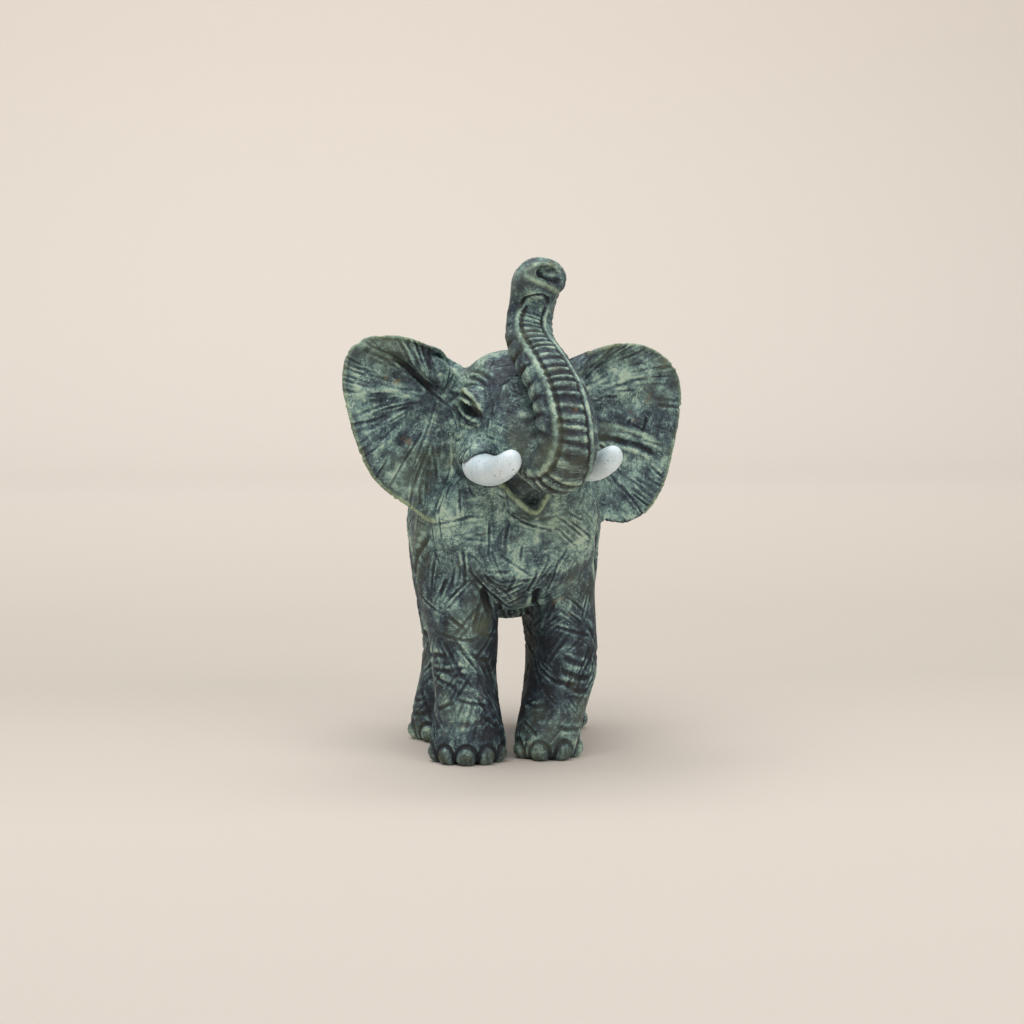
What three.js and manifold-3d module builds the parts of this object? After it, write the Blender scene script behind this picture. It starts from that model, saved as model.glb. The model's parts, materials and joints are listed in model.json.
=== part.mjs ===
// An elephant figure cast in resin: it stands on four feet with its head turned
// a little to its left, its ears spread and its trunk raised in an S.
// The casting is one solid, and the two white tusks sit in its sockets.
// Millimetres, +Z up. The figure faces -Y, so +X is its own left side.
import * as THREE from 'three';
import { LoftGeometry } from 'three/addons/geometries/LoftGeometry.js';
import { mergeVertices } from 'three/addons/utils/BufferGeometryUtils.js';
import Module from 'manifold-3d';

const wasm = await Module();
wasm.setup();

// Driving dimensions
const height = 150;
const tuskLength = 20;
const tuskRootRadius = 5;
const tuskTipRadius = 3.9;
const tuskSeatDepth = 5;
const tuskClearance = 0.3;
const earRimThickness = 2.6;
const toeNailWidth = 5.4;
const trunkRidgePitch = 2.1;

// The pose and proportions are shares of the height: one share is a hundredth
const share = height / 100;
const leftward = new THREE.Vector3(1, 0, 0);
const upward = new THREE.Vector3(0, 0, 1);

// The head turns about a post through its middle
const headPost = new THREE.Vector3(0, -25, 0);
const headTurn = THREE.MathUtils.degToRad(20);
const headLeft = leftward.clone().applyAxisAngle(upward, headTurn);
const headForward = new THREE.Vector3(0, -1, 0).applyAxisAngle(upward, headTurn);

// A place on the body, from its left, back and up shares
function bodyPlace(left, back, up) {
  return new THREE.Vector3(left, back, up).multiplyScalar(share);
}

// A place on the head, from its left, forward and up shares
function headPlace(left, forward, up) {
  const spot = headPost.clone();
  spot.addScaledVector(headLeft, left);
  spot.addScaledVector(headForward, forward);
  spot.addScaledVector(upward, up);
  return spot.multiplyScalar(share);
}

// The value at t, from 0 to 1, of a smooth curve through evenly spaced values
function smoothValue(values, t) {
  const curve = new THREE.CatmullRomCurve3(
    values.map((value) => new THREE.Vector3(value, 0, 0)), false, 'catmullrom');
  return curve.getPoint(t).x;
}

// A bump that is 1 at its middle and fades to 0 at its reach
function bump(value, middle, reach) {
  const away = Math.min(1, Math.abs(value - middle) / reach);
  return (1 + Math.cos(Math.PI * away)) / 2;
}

// A solid for joining and cutting, from a geometry whose seams and poles meet.
// Faces that the merging of a pole leaves without a width are dropped.
function solidOf(geometry) {
  const bare = new THREE.BufferGeometry();
  bare.setAttribute('position', geometry.attributes.position);
  bare.setIndex(geometry.index);
  const merged = mergeVertices(bare, 1e-4);
  const corners = merged.index.array;
  const kept = [];
  for (let index = 0; index < corners.length; index += 3) {
    const face = [corners[index], corners[index + 1], corners[index + 2]];
    if (new Set(face).size === 3) kept.push(...face);
  }
  const solid = new wasm.Manifold(new wasm.Mesh({
    numProp: 3,
    vertProperties: merged.attributes.position.array,
    triVerts: new Uint32Array(kept),
  }));
  if (solid.volume() <= 0) throw new Error('a form is inside out');
  return solid;
}

// A geometry from a joined solid
function geometryOf(solid) {
  const mesh = solid.getMesh();
  const geometry = new THREE.BufferGeometry();
  geometry.setAttribute('position', new THREE.BufferAttribute(mesh.vertProperties, 3));
  geometry.setIndex(new THREE.BufferAttribute(mesh.triVerts, 1));
  geometry.computeVertexNormals();
  return geometry;
}

// Evenly spaced values from the first to the last
function evenSteps(first, last, count) {
  const values = [];
  for (let step = 0; step <= count; step += 1) {
    values.push(first + (last - first) * step / count);
  }
  return values;
}

// Shares from 0 to 1 that lie closer together near both ends, for round ends
function closeEnds(count) {
  return evenSteps(0, Math.PI, count).map((turn) => (1 - Math.cos(turn)) / 2);
}

// A round form drawn along a smooth path. Each station is its place, then its
// half width and half depth. across is the way of the width, and carve gives
// how far the skin stands out at a share of the length and an angle. rings is
// a list of shares of the length, or how many even steps to take.
function roundForm({ stations, place, across, rings, sides, square = 1, carve = () => 0 }) {
  const path = new THREE.CatmullRomCurve3(
    stations.map(([a, b, c]) => place(a, b, c)), false, 'catmullrom');
  const girth = new THREE.CatmullRomCurve3(
    stations.map((row) => new THREE.Vector3(row[3], row[4], 0)), false, 'catmullrom');
  const reaches = Array.isArray(rings) ? rings : evenSteps(0, 1, rings);
  const sections = [];
  for (const reach of reaches) {
    const t = path.getUtoTmapping(reach);
    const centre = path.getPoint(t);
    const along = path.getTangent(t);
    const half = girth.getPoint(t);
    const deepWay = new THREE.Vector3().crossVectors(along, across).normalize();
    const wideWay = new THREE.Vector3().crossVectors(deepWay, along);
    const section = [];
    for (let side = 0; side < sides; side += 1) {
      const angle = side / sides * 2 * Math.PI;
      const cosine = Math.sign(Math.cos(angle)) * Math.abs(Math.cos(angle)) ** square;
      const sine = Math.sign(Math.sin(angle)) * Math.abs(Math.sin(angle)) ** square;
      const arm = new THREE.Vector3();
      arm.addScaledVector(wideWay, half.x * cosine);
      arm.addScaledVector(deepWay, half.y * sine);
      arm.setLength(arm.length() + carve(reach, angle));
      section.push(centre.clone().addScaledVector(arm, share));
    }
    sections.push(section);
  }
  const closing = (end) => new Array(sides).fill(path.getPoint(end).clone());
  return solidOf(new LoftGeometry([closing(0), ...sections, closing(1)]));
}

// A ball squeezed along three directions
function ballForm({ centre, radii, turn = 0, sides = 10 }) {
  const geometry = new THREE.SphereGeometry(1, sides, Math.round(sides * 0.7));
  geometry.scale(radii[0] * share, radii[1] * share, radii[2] * share);
  geometry.rotateZ(turn);
  geometry.translate(centre.x, centre.y, centre.z);
  return solidOf(geometry);
}

// Trunk, chest, barrel and rump: left, back, up, half width, half depth
function makeBarrel() {
  const foldHeight = 0.35;
  const foldTurns = 46;
  const foldWander = 2;
  const skinFolds = (reach, angle) => {
    const flank = Math.abs(Math.cos(angle));
    const wander = foldWander * Math.sin(angle * 3);
    return foldHeight * flank * Math.sin(reach * foldTurns + wander);
  };
  return roundForm({
    stations: [
      [0, -31.5, 43.6, 2.6, 2.6],
      [0, -31.2, 43.6, 6.2, 6],
      [0, -30.3, 43.6, 12, 11.2],
      [0, -28, 44.2, 15.4, 14.4],
      [0, -23.5, 45.6, 17.4, 16.6],
      [0, -16, 46.8, 18.5, 18.8],
      [0, -8, 45, 19.1, 19.2],
      [0, 1, 44.6, 19, 18.3],
      [0, 9, 46, 17.7, 17.8],
      [0, 15, 47.2, 15, 15],
      [0, 19, 48.5, 10.5, 11],
      [0, 21, 49.5, 4.5, 5.5],
    ],
    place: bodyPlace,
    across: leftward,
    rings: closeEnds(18),
    sides: 20,
    square: 0.92,
    carve: skinFolds,
  });
}

// The brisket, which hangs between the front legs
function makeBrisket() {
  return ballForm({ centre: bodyPlace(-0.6, -24.6, 36.4), radii: [6.4, 5.4, 6.9], sides: 12 });
}

// Neck, from between the shoulders to the back of the skull
function makeNeck() {
  return roundForm({
    stations: [
      [0, -10, 53, 12, 10],
      [0, -16, 56.5, 12.5, 12],
      [0, -22, 60.5, 11.5, 13],
      [0.8, -27, 63.5, 9, 11],
    ],
    place: bodyPlace,
    across: leftward,
    rings: 6,
    sides: 16,
  });
}

// A leg from its shoulder or hip down to the sole, with folds at the knee
function makeLeg({ stations, kneeAt, kneeFold, sole }) {
  const kneeReach = 0.2;
  const creaseHeight = 0.28;
  const creaseTurns = 70;
  const folds = (reach, angle) => {
    const knee = bump(reach, kneeAt, kneeReach);
    const creases = Math.sin(reach * creaseTurns + Math.cos(angle * 2));
    const frontShare = 0.6 + 0.4 * Math.sin(angle);
    return knee * (kneeFold + creaseHeight * creases) * frontShare;
  };
  const shaft = roundForm({
    stations,
    place: bodyPlace,
    across: leftward,
    rings: 12,
    sides: 14,
    carve: folds,
  });
  return shaft.add(makeToes(sole));
}

// Toe nails: low rounded pads around the front of a foot
function makeToes({ left, back, width, depth, turn, count }) {
  const nailHalf = toeNailWidth / 2 / share;
  const nailThick = 1.1;
  const nailTall = 1.9;
  const fanAngle = 2.5;
  let toes = null;
  for (let nail = 0; nail < count; nail += 1) {
    const fan = (nail / (count - 1) - 0.5) * fanAngle;
    const swing = turn + fan;
    const spot = bodyPlace(
      left + Math.sin(swing) * width,
      back - Math.cos(swing) * depth,
      nailTall);
    const outerNarrow = 1.1 - 0.25 * Math.abs(fan);
    const pad = ballForm({
      centre: spot,
      radii: [nailHalf * outerNarrow, nailThick, nailTall],
      turn: swing,
      sides: 6,
    });
    toes = toes === null ? pad : toes.add(pad);
  }
  return toes;
}

// The four legs stand as in a slow walk
function makeLegs() {
  const frontRight = makeLeg({
    stations: [
      [-9, -18, 56.5, 2.5, 3],
      [-9.5, -18, 53, 7, 7.5],
      [-11, -19.5, 44, 8.6, 9],
      [-10.7, -21.5, 34, 8, 8],
      [-9.7, -22.5, 26, 7, 6.9],
      [-9.5, -22.8, 18, 6.3, 6.3],
      [-9, -23.3, 11, 6.5, 6.6],
      [-9, -24, 5, 7.6, 7.5],
      [-8.9, -24.3, 1.5, 7.7, 7.6],
      [-8.9, -24.3, -1.5, 6.8, 6.8],
    ],
    kneeAt: 0.58,
    kneeFold: 0.5,
    sole: { left: -8.9, back: -24.3, width: 7.3, depth: 7.2, turn: -0.15, count: 5 },
  });
  const frontLeft = makeLeg({
    stations: [
      [9, -17, 56.5, 2.5, 3],
      [9.3, -17, 53, 6.8, 7.5],
      [10.1, -17.5, 44, 7.9, 8.8],
      [10.2, -18.5, 34, 7, 7.6],
      [10.8, -19.3, 26, 6.4, 6.6],
      [11, -19.7, 18, 6.3, 6.3],
      [8.8, -20.5, 11, 6.5, 6.5],
      [7.3, -21.3, 5, 6.6, 7],
      [7.1, -21.6, 1.5, 6.7, 7.1],
      [7.1, -21.6, -1.5, 6, 6.3],
    ],
    kneeAt: 0.62,
    kneeFold: 0.6,
    sole: { left: 7.1, back: -21.6, width: 6.5, depth: 6.7, turn: 0.05, count: 4 },
  });
  const hindRight = makeLeg({
    stations: [
      [-7.5, 10, 57.5, 2, 3],
      [-8.2, 10, 54.5, 6.4, 8],
      [-9.6, 9.5, 44, 8.8, 10],
      [-9.8, 7, 34, 8, 9.5],
      [-9.6, 4.5, 26, 6.8, 7.8],
      [-9.8, 3.5, 18, 6, 6.5],
      [-10.5, 2.5, 11, 6.3, 6.4],
      [-11.3, 1.2, 5, 7.1, 7.2],
      [-11.5, 1, 1.5, 7.2, 7.3],
      [-11.5, 1, -1.5, 6.4, 6.4],
    ],
    kneeAt: 0.5,
    kneeFold: 0.5,
    sole: { left: -11.5, back: 1, width: 6.9, depth: 6.9, turn: -0.2, count: 4 },
  });
  const hindLeft = makeLeg({
    stations: [
      [7.5, 11, 57.5, 2, 3],
      [8.2, 11, 54.5, 6.4, 8],
      [10, 12, 44, 9, 10],
      [10.9, 11.5, 34, 8.2, 9.3],
      [12, 11, 26, 6.8, 7.6],
      [12.2, 11.6, 18, 5.9, 6.4],
      [12.1, 11.4, 11, 6, 6.3],
      [12, 10.4, 5, 6.8, 7],
      [12, 10.1, 1.5, 6.9, 7.1],
      [12, 10.1, -1.5, 6.1, 6.3],
    ],
    kneeAt: 0.5,
    kneeFold: 0.5,
    sole: { left: 12, back: 10.1, width: 6.6, depth: 6.7, turn: 0.2, count: 4 },
  });
  return [frontRight, frontLeft, hindRight, hindLeft];
}

// Skull, cheeks and muzzle, from the nape forward
function makeSkull() {
  const templeDepth = 0.9;
  const templeHollow = (reach, angle) => {
    const temple = bump(angle, 1.75 * Math.PI, 0.6) + bump(angle, 1.25 * Math.PI, 0.6);
    return -templeDepth * temple * bump(reach, 0.6, 0.3);
  };
  return roundForm({
    stations: [
      [0, -10, 67.3, 4.5, 6],
      [0, -8.3, 67.8, 8.6, 10.3],
      [0, -4, 68.3, 11, 12.8],
      [0, 0, 68, 11.7, 13],
      [0, 4, 67.2, 11.5, 11.9],
      [0, 8, 65.6, 10.6, 9.6],
      [0, 12, 63.6, 8.9, 7.2],
      [0, 15, 62, 6, 4.6],
    ],
    place: headPlace,
    across: headLeft,
    rings: 12,
    sides: 20,
    square: 0.95,
    carve: templeHollow,
  });
}

// The sleeve of skin that each tusk comes out of
function makeTuskSleeve(side) {
  return roundForm({
    stations: [
      [side * 7.5, -1, 65, 4.2, 5.5],
      [side * 9.2, 3, 62.5, 4.5, 5.4],
      [side * 10.2, 7, 60.2, 4.4, 4.7],
      [side * 10.7, 9.6, 59, 3.9, 3.9],
      [side * 10.8, 10.4, 58.7, 2.8, 2.8],
    ],
    place: headPlace,
    across: headLeft,
    rings: 5,
    sides: 10,
  });
}

// The lower jaw, hollowed into a mouth, with a rolled lip that comes to a point
function makeJaw() {
  const chin = roundForm({
    stations: [
      [0, -5, 57.5, 7.5, 6],
      [0, 0, 55, 7.8, 5.2],
      [0, 4, 52.7, 6.4, 4.2],
      [0, 7, 51.1, 3.8, 2.7],
      [0, 9, 50.1, 1.4, 1.3],
    ],
    place: headPlace,
    across: headLeft,
    rings: 7,
    sides: 14,
  });
  const mouth = roundForm({
    stations: [
      [0, 0, 58, 4.4, 2],
      [0, 4, 56.2, 5, 2.5],
      [0, 7, 53.5, 3.3, 2.2],
      [0, 8.8, 51.9, 1, 1.3],
    ],
    place: headPlace,
    across: headLeft,
    rings: 5,
    sides: 12,
  });
  const lip = roundForm({
    stations: [
      [-8.4, 3.4, 57.2, 0.9, 0.9],
      [-5.4, 5.6, 55.6, 0.8, 0.8],
      [-3.4, 7.4, 53, 0.85, 0.85],
      [-1.2, 9, 50.7, 0.9, 0.9],
      [0, 9.6, 49.9, 0.9, 0.9],
      [1.2, 9, 50.7, 0.9, 0.9],
      [3.4, 7.4, 53, 0.85, 0.85],
      [5.4, 5.6, 55.6, 0.8, 0.8],
      [8.4, 3.4, 57.2, 0.9, 0.9],
    ],
    place: headPlace,
    across: upward,
    rings: 14,
    sides: 6,
  });
  return chin.subtract(mouth).add(lip);
}

// The trunk: it leaves the muzzle forward, turns up in front of the forehead,
// leans back over it, and curls forward again at its tip. Ridges cross its
// underside, which faces forward, between two raised borders.
function makeTrunk() {
  const stations = [
    [0, 1, 71, 8.3, 8],
    [0, 7, 68.8, 7.9, 7.2],
    [0, 11.4, 65, 7.2, 6.3],
    [0, 14.6, 61.2, 6.6, 5.7],
    [0, 19.2, 59.9, 6.1, 5.6],
    [-0.1, 23, 62.6, 5.9, 5.5],
    [-0.3, 23.7, 67.6, 5.8, 5.3],
    [-0.7, 21.7, 73, 5.5, 5],
    [-1.4, 17.3, 78, 5.1, 4.6],
    [-1.8, 11.4, 82.6, 4.8, 4.2],
    [-0.6, 8, 86.8, 4.6, 3.9],
    [0.5, 7.4, 91, 4.7, 3.7],
    [0.3, 9.6, 94.6, 5.3, 4.1],
    [0.2, 12.5, 95.7, 5.3, 4.1],
    [0.2, 13.7, 95.6, 4.4, 3.2],
  ];
  const path = new THREE.CatmullRomCurve3(
    stations.map(([a, b, c]) => headPlace(a, b, c)), false, 'catmullrom');
  const ridgedFrom = 0.3;
  const ridgedTo = 0.82;
  const ridges = Math.round((ridgedTo - ridgedFrom) * path.getLength() / trunkRidgePitch);
  const rings = [
    ...evenSteps(0, ridgedFrom, 5).slice(0, -1),
    ...evenSteps(ridgedFrom, ridgedTo, 2 * ridges),
    ...evenSteps(ridgedTo, 1, 8).slice(1),
  ];
  const underside = 1.5 * Math.PI;
  const borderHeight = 0.35;
  const tipHollow = 0.5;
  const ridgeHeight = 0.26;
  const relief = (reach, angle) => {
    const below = bump(angle, underside, 0.9);
    const borders = bump(angle, underside - 1, 0.4) + bump(angle, underside + 1, 0.4);
    const stretch = (reach - ridgedFrom) / (ridgedTo - ridgedFrom);
    const ridged = bump(stretch, 0.5, 0.5) ** 0.3;
    const wave = Math.cos(stretch * ridges * 2 * Math.PI);
    const hollow = tipHollow * below * bump(reach, 0.85, 0.2);
    return borderHeight * borders - hollow + ridgeHeight * wave * below * ridged;
  };
  return roundForm({
    stations,
    place: headPlace,
    across: headLeft,
    rings,
    sides: 14,
    carve: relief,
  });
}

// The opening in the trunk's tip: a shallow crescent that faces forward
function makeNostrils() {
  return ballForm({
    centre: headPlace(0.9, 14.7, 96.5),
    radii: [3.6, 2.8, 1.5],
    turn: headTurn,
    sides: 14,
  });
}

// An ear: a sheet fanned from the side of the head to its rim. reaches gives
// the rim's distance from the fan's middle every 20 degrees, from straight up.
// The top edge rolls forward into a fold, whose stations are out, up and lift.
function makeEar({ side, middle, sweep, root, reaches, curl, fold }) {
  const outward = headLeft.clone().multiplyScalar(side * Math.cos(sweep));
  outward.addScaledVector(headForward, -Math.sin(sweep));
  const facing = new THREE.Vector3().crossVectors(upward, outward).multiplyScalar(-side);
  const earPlace = (out, up, lift) => headPlace(...middle)
    .addScaledVector(outward, out * share)
    .addScaledVector(upward, up * share)
    .addScaledVector(facing, lift * share);
  const fanAngle = THREE.MathUtils.degToRad(20 * (reaches.length - 1));
  const fans = 26;
  const steps = 6;
  const half = earRimThickness / 2 / share;
  const dishDepth = 2.6;
  const rimFlare = 1.2;
  const pleatDepth = 0.5;
  const pleatTurns = 9;
  const rootThicker = 1.5;
  const rimStart = 0.88;
  const rimThinner = 0.55;
  const sections = [];
  for (let fan = 0; fan <= fans; fan += 1) {
    const turn = fan / fans;
    const angle = turn * fanAngle;
    const reach = smoothValue(reaches, turn);
    const foot = headPlace(...root.top).lerp(headPlace(...root.bottom), turn);
    const rim = earPlace(Math.sin(angle) * reach, Math.cos(angle) * reach, 0);
    const pleats = Math.cos(angle * pleatTurns + side);
    const front = [];
    const back = [];
    for (let step = 0; step <= steps; step += 1) {
      const out = step / steps;
      const spot = foot.clone().lerp(rim, out);
      const dish = rimFlare * out ** 3 - dishDepth * bump(out, 0.45, 0.6);
      const pleat = pleatDepth * pleats * bump(out, 0.55, 0.5);
      const lift = dish + pleat + curl * bump(turn, 0.12, 0.22) * out ** 2;
      const rimRound = 1 - rimThinner * Math.max(0, out - rimStart) / (1 - rimStart);
      const edgeRound = Math.min(1, 3 * Math.sin(turn * Math.PI)) ** 0.5;
      const thick = (half + rootThicker * (1 - out) ** 2) * rimRound * edgeRound;
      front.push(spot.clone().addScaledVector(facing, (lift + thick) * share));
      back.push(spot.clone().addScaledVector(facing, (lift - thick) * share));
    }
    const section = front.concat(back.reverse());
    sections.push(side < 0 ? section : section.reverse());
  }
  const sheet = solidOf(new LoftGeometry(sections));
  const roll = roundForm({
    stations: fold,
    place: earPlace,
    across: facing,
    rings: 10,
    sides: 6,
  });
  return sheet.add(roll);
}

function makeEars() {
  const right = makeEar({
    side: -1,
    middle: [-13.5, -4.8, 72.6],
    sweep: THREE.MathUtils.degToRad(12),
    root: { top: [-8, -4.5, 78], bottom: [-8.5, -1.5, 57] },
    reaches: [8.7, 10.7, 15.2, 20.2, 19.9, 18.9, 19.3, 21.2, 22.4, 24.8, 17.5],
    curl: 1.6,
    fold: [
      [-4, 1, -0.8, 1.1, 1.4],
      [-1.6, 2.9, 0.2, 1.6, 2.6],
      [1.2, 4.9, 0.9, 1.6, 2.7],
      [4.2, 7, 1, 1.4, 2],
      [7.8, 8.8, 0.9, 1.2, 1.3],
      [11.8, 9.6, 0.9, 1, 0.9],
      [15, 9.6, 0.9, 0.9, 0.7],
      [17.2, 8.6, 0.7, 0.6, 0.5],
    ],
  });
  const left = makeEar({
    side: 1,
    middle: [18.5, -5.2, 71.6],
    sweep: THREE.MathUtils.degToRad(2),
    root: { top: [8, -4.5, 76], bottom: [8.5, -1.5, 57] },
    reaches: [8.4, 10.2, 13.3, 17.6, 21.2, 21.8, 23, 26.4, 28.4, 23, 12.5],
    curl: 0.8,
    fold: [
      [-7.5, 1.4, -0.6, 1.1, 1.3],
      [-5, 3.4, 0.2, 1.5, 2.1],
      [-2.4, 5.2, 0.7, 1.4, 1.9],
      [0.6, 7, 0.8, 1.2, 1.3],
      [4, 8.3, 0.8, 1, 0.9],
      [8, 9, 0.8, 0.9, 0.7],
      [11.5, 8.9, 0.7, 0.6, 0.5],
    ],
  });
  return right.add(left);
}

// An eye: a ball under a heavy upper lid, with folds of skin above and below
function makeEye(side) {
  const level = 69.9;
  const ball = ballForm({
    centre: headPlace(side * 9.6, 4.2, level),
    radii: [1.9, 2.2, 1.8],
    turn: headTurn,
    sides: 8,
  });
  const lid = (rise, reach, girth) => roundForm({
    stations: [
      [side * 10.6, 0.2 - reach, level + rise * 0.1, 0.3, 0.3],
      [side * 11.3, 1.8 - reach / 2, level + rise * 0.8, girth, girth],
      [side * 11.2, 4, level + rise, girth, girth],
      [side * 10.4, 6, level + rise * 0.6, girth, girth],
      [side * 9.3, 7.8 + reach, level - rise * 0.2, 0.3, 0.3],
    ],
    place: headPlace,
    across: upward,
    rings: 6,
    sides: 6,
  });
  return ball.add(lid(2, 0, 0.9)).add(lid(-2, 0, 0.75)).add(lid(4, 0.8, 0.9));
}

// The tail lies against the rump and ends in a tuft
function makeTail() {
  return roundForm({
    stations: [
      [0, 16, 55, 2.4, 2.4],
      [0.4, 20.2, 53, 2, 2],
      [1.2, 21.8, 47, 1.5, 1.5],
      [1.8, 20.8, 40, 1.3, 1.3],
      [2.2, 18.6, 34, 1.6, 1.6],
      [2.4, 17.2, 29, 1.9, 1.9],
      [2.4, 16.6, 25.5, 0.5, 0.5],
    ],
    place: bodyPlace,
    across: leftward,
    rings: 12,
    sides: 8,
  });
}

// A tusk: a tapered round bar with a round tip. It leaves its socket sloping
// down and curves up, like a banana. grow makes it fuller all round, which
// gives the hole that a tusk sits in.
const tuskSlope = -7;
const tuskCurve = 11;
const tuskSpread = 10.8;
const tuskForward = 6;
const tuskRise = 59.6;

function tuskGeometry(side, grow) {
  const whole = tuskLength + tuskSeatDepth;
  const shoulder = whole - tuskTipRadius;
  const profile = [new THREE.Vector2(0, -grow)];
  for (const along of evenSteps(0, 1, 6)) {
    const radius = THREE.MathUtils.lerp(tuskRootRadius, tuskTipRadius, along) + grow;
    profile.push(new THREE.Vector2(radius, along === 0 ? -grow : along * shoulder));
  }
  for (const turn of evenSteps(0, Math.PI / 2, 4).slice(1, -1)) {
    const reach = tuskTipRadius + grow;
    profile.push(new THREE.Vector2(Math.cos(turn) * reach, shoulder + Math.sin(turn) * reach));
  }
  profile.push(new THREE.Vector2(0, whole + grow));
  const geometry = new THREE.LatheGeometry(profile, 14);
  const place = geometry.attributes.position;
  const start = headPlace(side * tuskSpread, tuskForward, tuskRise);
  for (let index = 0; index < place.count; index += 1) {
    const along = place.getY(index);
    const done = along / whole;
    const lift = tuskSlope * done + tuskCurve * done ** 2;
    const spot = start.clone();
    spot.addScaledVector(headForward, along);
    spot.addScaledVector(headLeft, place.getX(index));
    spot.addScaledVector(upward, lift - place.getZ(index));
    place.setXYZ(index, spot.x, spot.y, spot.z);
  }
  return geometry;
}

// Everything below the floor, cut off so that the soles are flat
function makeFloorCut() {
  const deep = 20 * share;
  const wide = 200 * share;
  const box = new THREE.BoxGeometry(wide, wide, deep);
  box.translate(0, 0, -deep / 2);
  return solidOf(box);
}

function makeCasting() {
  const forms = [
    makeBarrel(),
    makeBrisket(),
    makeNeck(),
    ...makeLegs(),
    makeTail(),
    makeSkull(),
    makeTuskSleeve(-1),
    makeTuskSleeve(1),
    makeEye(-1),
    makeEye(1),
    makeJaw(),
    makeTrunk(),
    makeEars(),
  ];
  let casting = forms.reduce((whole, form) => whole.add(form));
  casting = casting.subtract(makeNostrils());
  for (const side of [-1, 1]) {
    casting = casting.subtract(solidOf(tuskGeometry(side, tuskClearance)));
  }
  return casting.subtract(makeFloorCut());
}

const resin = new THREE.MeshStandardMaterial({ color: 0x4a5a55, roughness: 0.75, metalness: 0 });
const ivory = new THREE.MeshStandardMaterial({ color: 0xe6ebea, roughness: 0.35, metalness: 0 });

const elephant = new THREE.Mesh(geometryOf(makeCasting()), resin);
elephant.name = 'elephant';

const tuskRight = new THREE.Mesh(geometryOf(solidOf(tuskGeometry(-1, 0))), ivory);
tuskRight.name = 'tusk_right';

const tuskLeft = new THREE.Mesh(geometryOf(solidOf(tuskGeometry(1, 0))), ivory.clone());
tuskLeft.name = 'tusk_left';

// The origin is on the floor, under the middle of the figure's outer size
const figure = new THREE.Group();
figure.add(elephant, tuskRight, tuskLeft);
const size = new THREE.Box3().setFromObject(figure);
const middle = size.getCenter(new THREE.Vector3());
figure.position.set(-middle.x, -middle.y, -size.min.z);
figure.updateMatrixWorld(true);

export default figure;
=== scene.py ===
# %% [markdown]
# # A cast elephant figure
# This lesson dresses the CAD model of a 15 cm cast resin elephant. The CAD has
# the body, head, ears, trunk and legs as plain faceted solids. Here the same
# casting gets its tool marks, wrinkles, eyelids, toenails and painted finish.

# %% Load the frame
import json
import math

import bpy
import numpy as np
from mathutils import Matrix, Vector, kdtree

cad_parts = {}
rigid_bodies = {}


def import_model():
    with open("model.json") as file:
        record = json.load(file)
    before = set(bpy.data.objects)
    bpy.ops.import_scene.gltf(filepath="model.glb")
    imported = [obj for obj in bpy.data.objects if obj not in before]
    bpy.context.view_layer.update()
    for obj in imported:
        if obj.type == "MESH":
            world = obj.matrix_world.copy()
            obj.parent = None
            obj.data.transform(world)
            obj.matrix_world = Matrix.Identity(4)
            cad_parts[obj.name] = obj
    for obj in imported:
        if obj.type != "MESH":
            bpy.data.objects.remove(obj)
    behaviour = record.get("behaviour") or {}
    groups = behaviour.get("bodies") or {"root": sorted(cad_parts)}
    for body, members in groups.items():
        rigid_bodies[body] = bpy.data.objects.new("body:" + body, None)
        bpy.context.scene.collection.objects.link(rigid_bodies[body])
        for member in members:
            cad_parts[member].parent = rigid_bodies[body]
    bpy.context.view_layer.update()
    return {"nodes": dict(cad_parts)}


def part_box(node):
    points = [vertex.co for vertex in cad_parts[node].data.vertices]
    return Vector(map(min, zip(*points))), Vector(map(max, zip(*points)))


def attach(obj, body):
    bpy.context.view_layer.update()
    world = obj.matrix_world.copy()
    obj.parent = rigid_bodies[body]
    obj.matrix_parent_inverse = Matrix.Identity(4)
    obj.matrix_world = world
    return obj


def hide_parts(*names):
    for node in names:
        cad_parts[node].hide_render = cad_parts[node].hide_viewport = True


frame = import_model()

# %% [markdown]
# Blender works in metres. The carving below is easier to think about in
# millimetres, so the points are read and written through two small helpers.
# Every operator acts on what is selected, so all is deselected before it.

# %% Helpers for meshes
MM = 0.001
DOUBLES_WITHIN = 0.002


def deselect_all():
    """Leave nothing selected and nothing active."""
    for thing in bpy.data.objects:
        thing.select_set(False)
    bpy.context.view_layer.objects.active = None


def pick(piece):
    """Select one piece alone and make it active."""
    deselect_all()
    piece.select_set(True)
    bpy.context.view_layer.objects.active = piece


def apply_modifier(piece, kind, **settings):
    """Add one modifier with its settings and apply it."""
    pick(piece)
    modifier = piece.modifiers.new(kind.title(), kind)
    for name, value in settings.items():
        setattr(modifier, name, value)
    bpy.ops.object.modifier_apply(modifier=modifier.name)


def read_points(piece):
    """The vertices of a mesh as rows of x, y, z in millimetres."""
    flat = np.empty(len(piece.data.vertices) * 3)
    piece.data.vertices.foreach_get("co", flat)
    return flat.reshape(-1, 3) / MM


def write_points(piece, points):
    """Put the vertices back, from millimetres."""
    piece.data.vertices.foreach_set("co", (points * MM).ravel())
    piece.data.update()


def read_normals(piece):
    """The vertex normals as rows of x, y, z."""
    flat = np.empty(len(piece.data.vertices) * 3)
    piece.data.vertex_normals.foreach_get("vector", flat)
    return flat.reshape(-1, 3)


def copy_of_node(node, name):
    """A merged copy of a CAD node, whose own mesh stays as it is."""
    piece = bpy.data.objects.new(name, frame["nodes"][node].data.copy())
    bpy.context.scene.collection.objects.link(piece)
    piece.data.materials.clear()
    pick(piece)
    bpy.ops.object.mode_set(mode="EDIT")
    bpy.ops.mesh.select_all(action="SELECT")
    bpy.ops.mesh.remove_doubles(threshold=DOUBLES_WITHIN * MM)
    bpy.ops.object.mode_set(mode="OBJECT")
    return piece


def smooth_step(value, low, high):
    """0 below low, 1 above high, and a soft slope between."""
    part = np.clip((value - low) / (high - low), 0, 1)
    return part * part * (3 - 2 * part)


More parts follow.
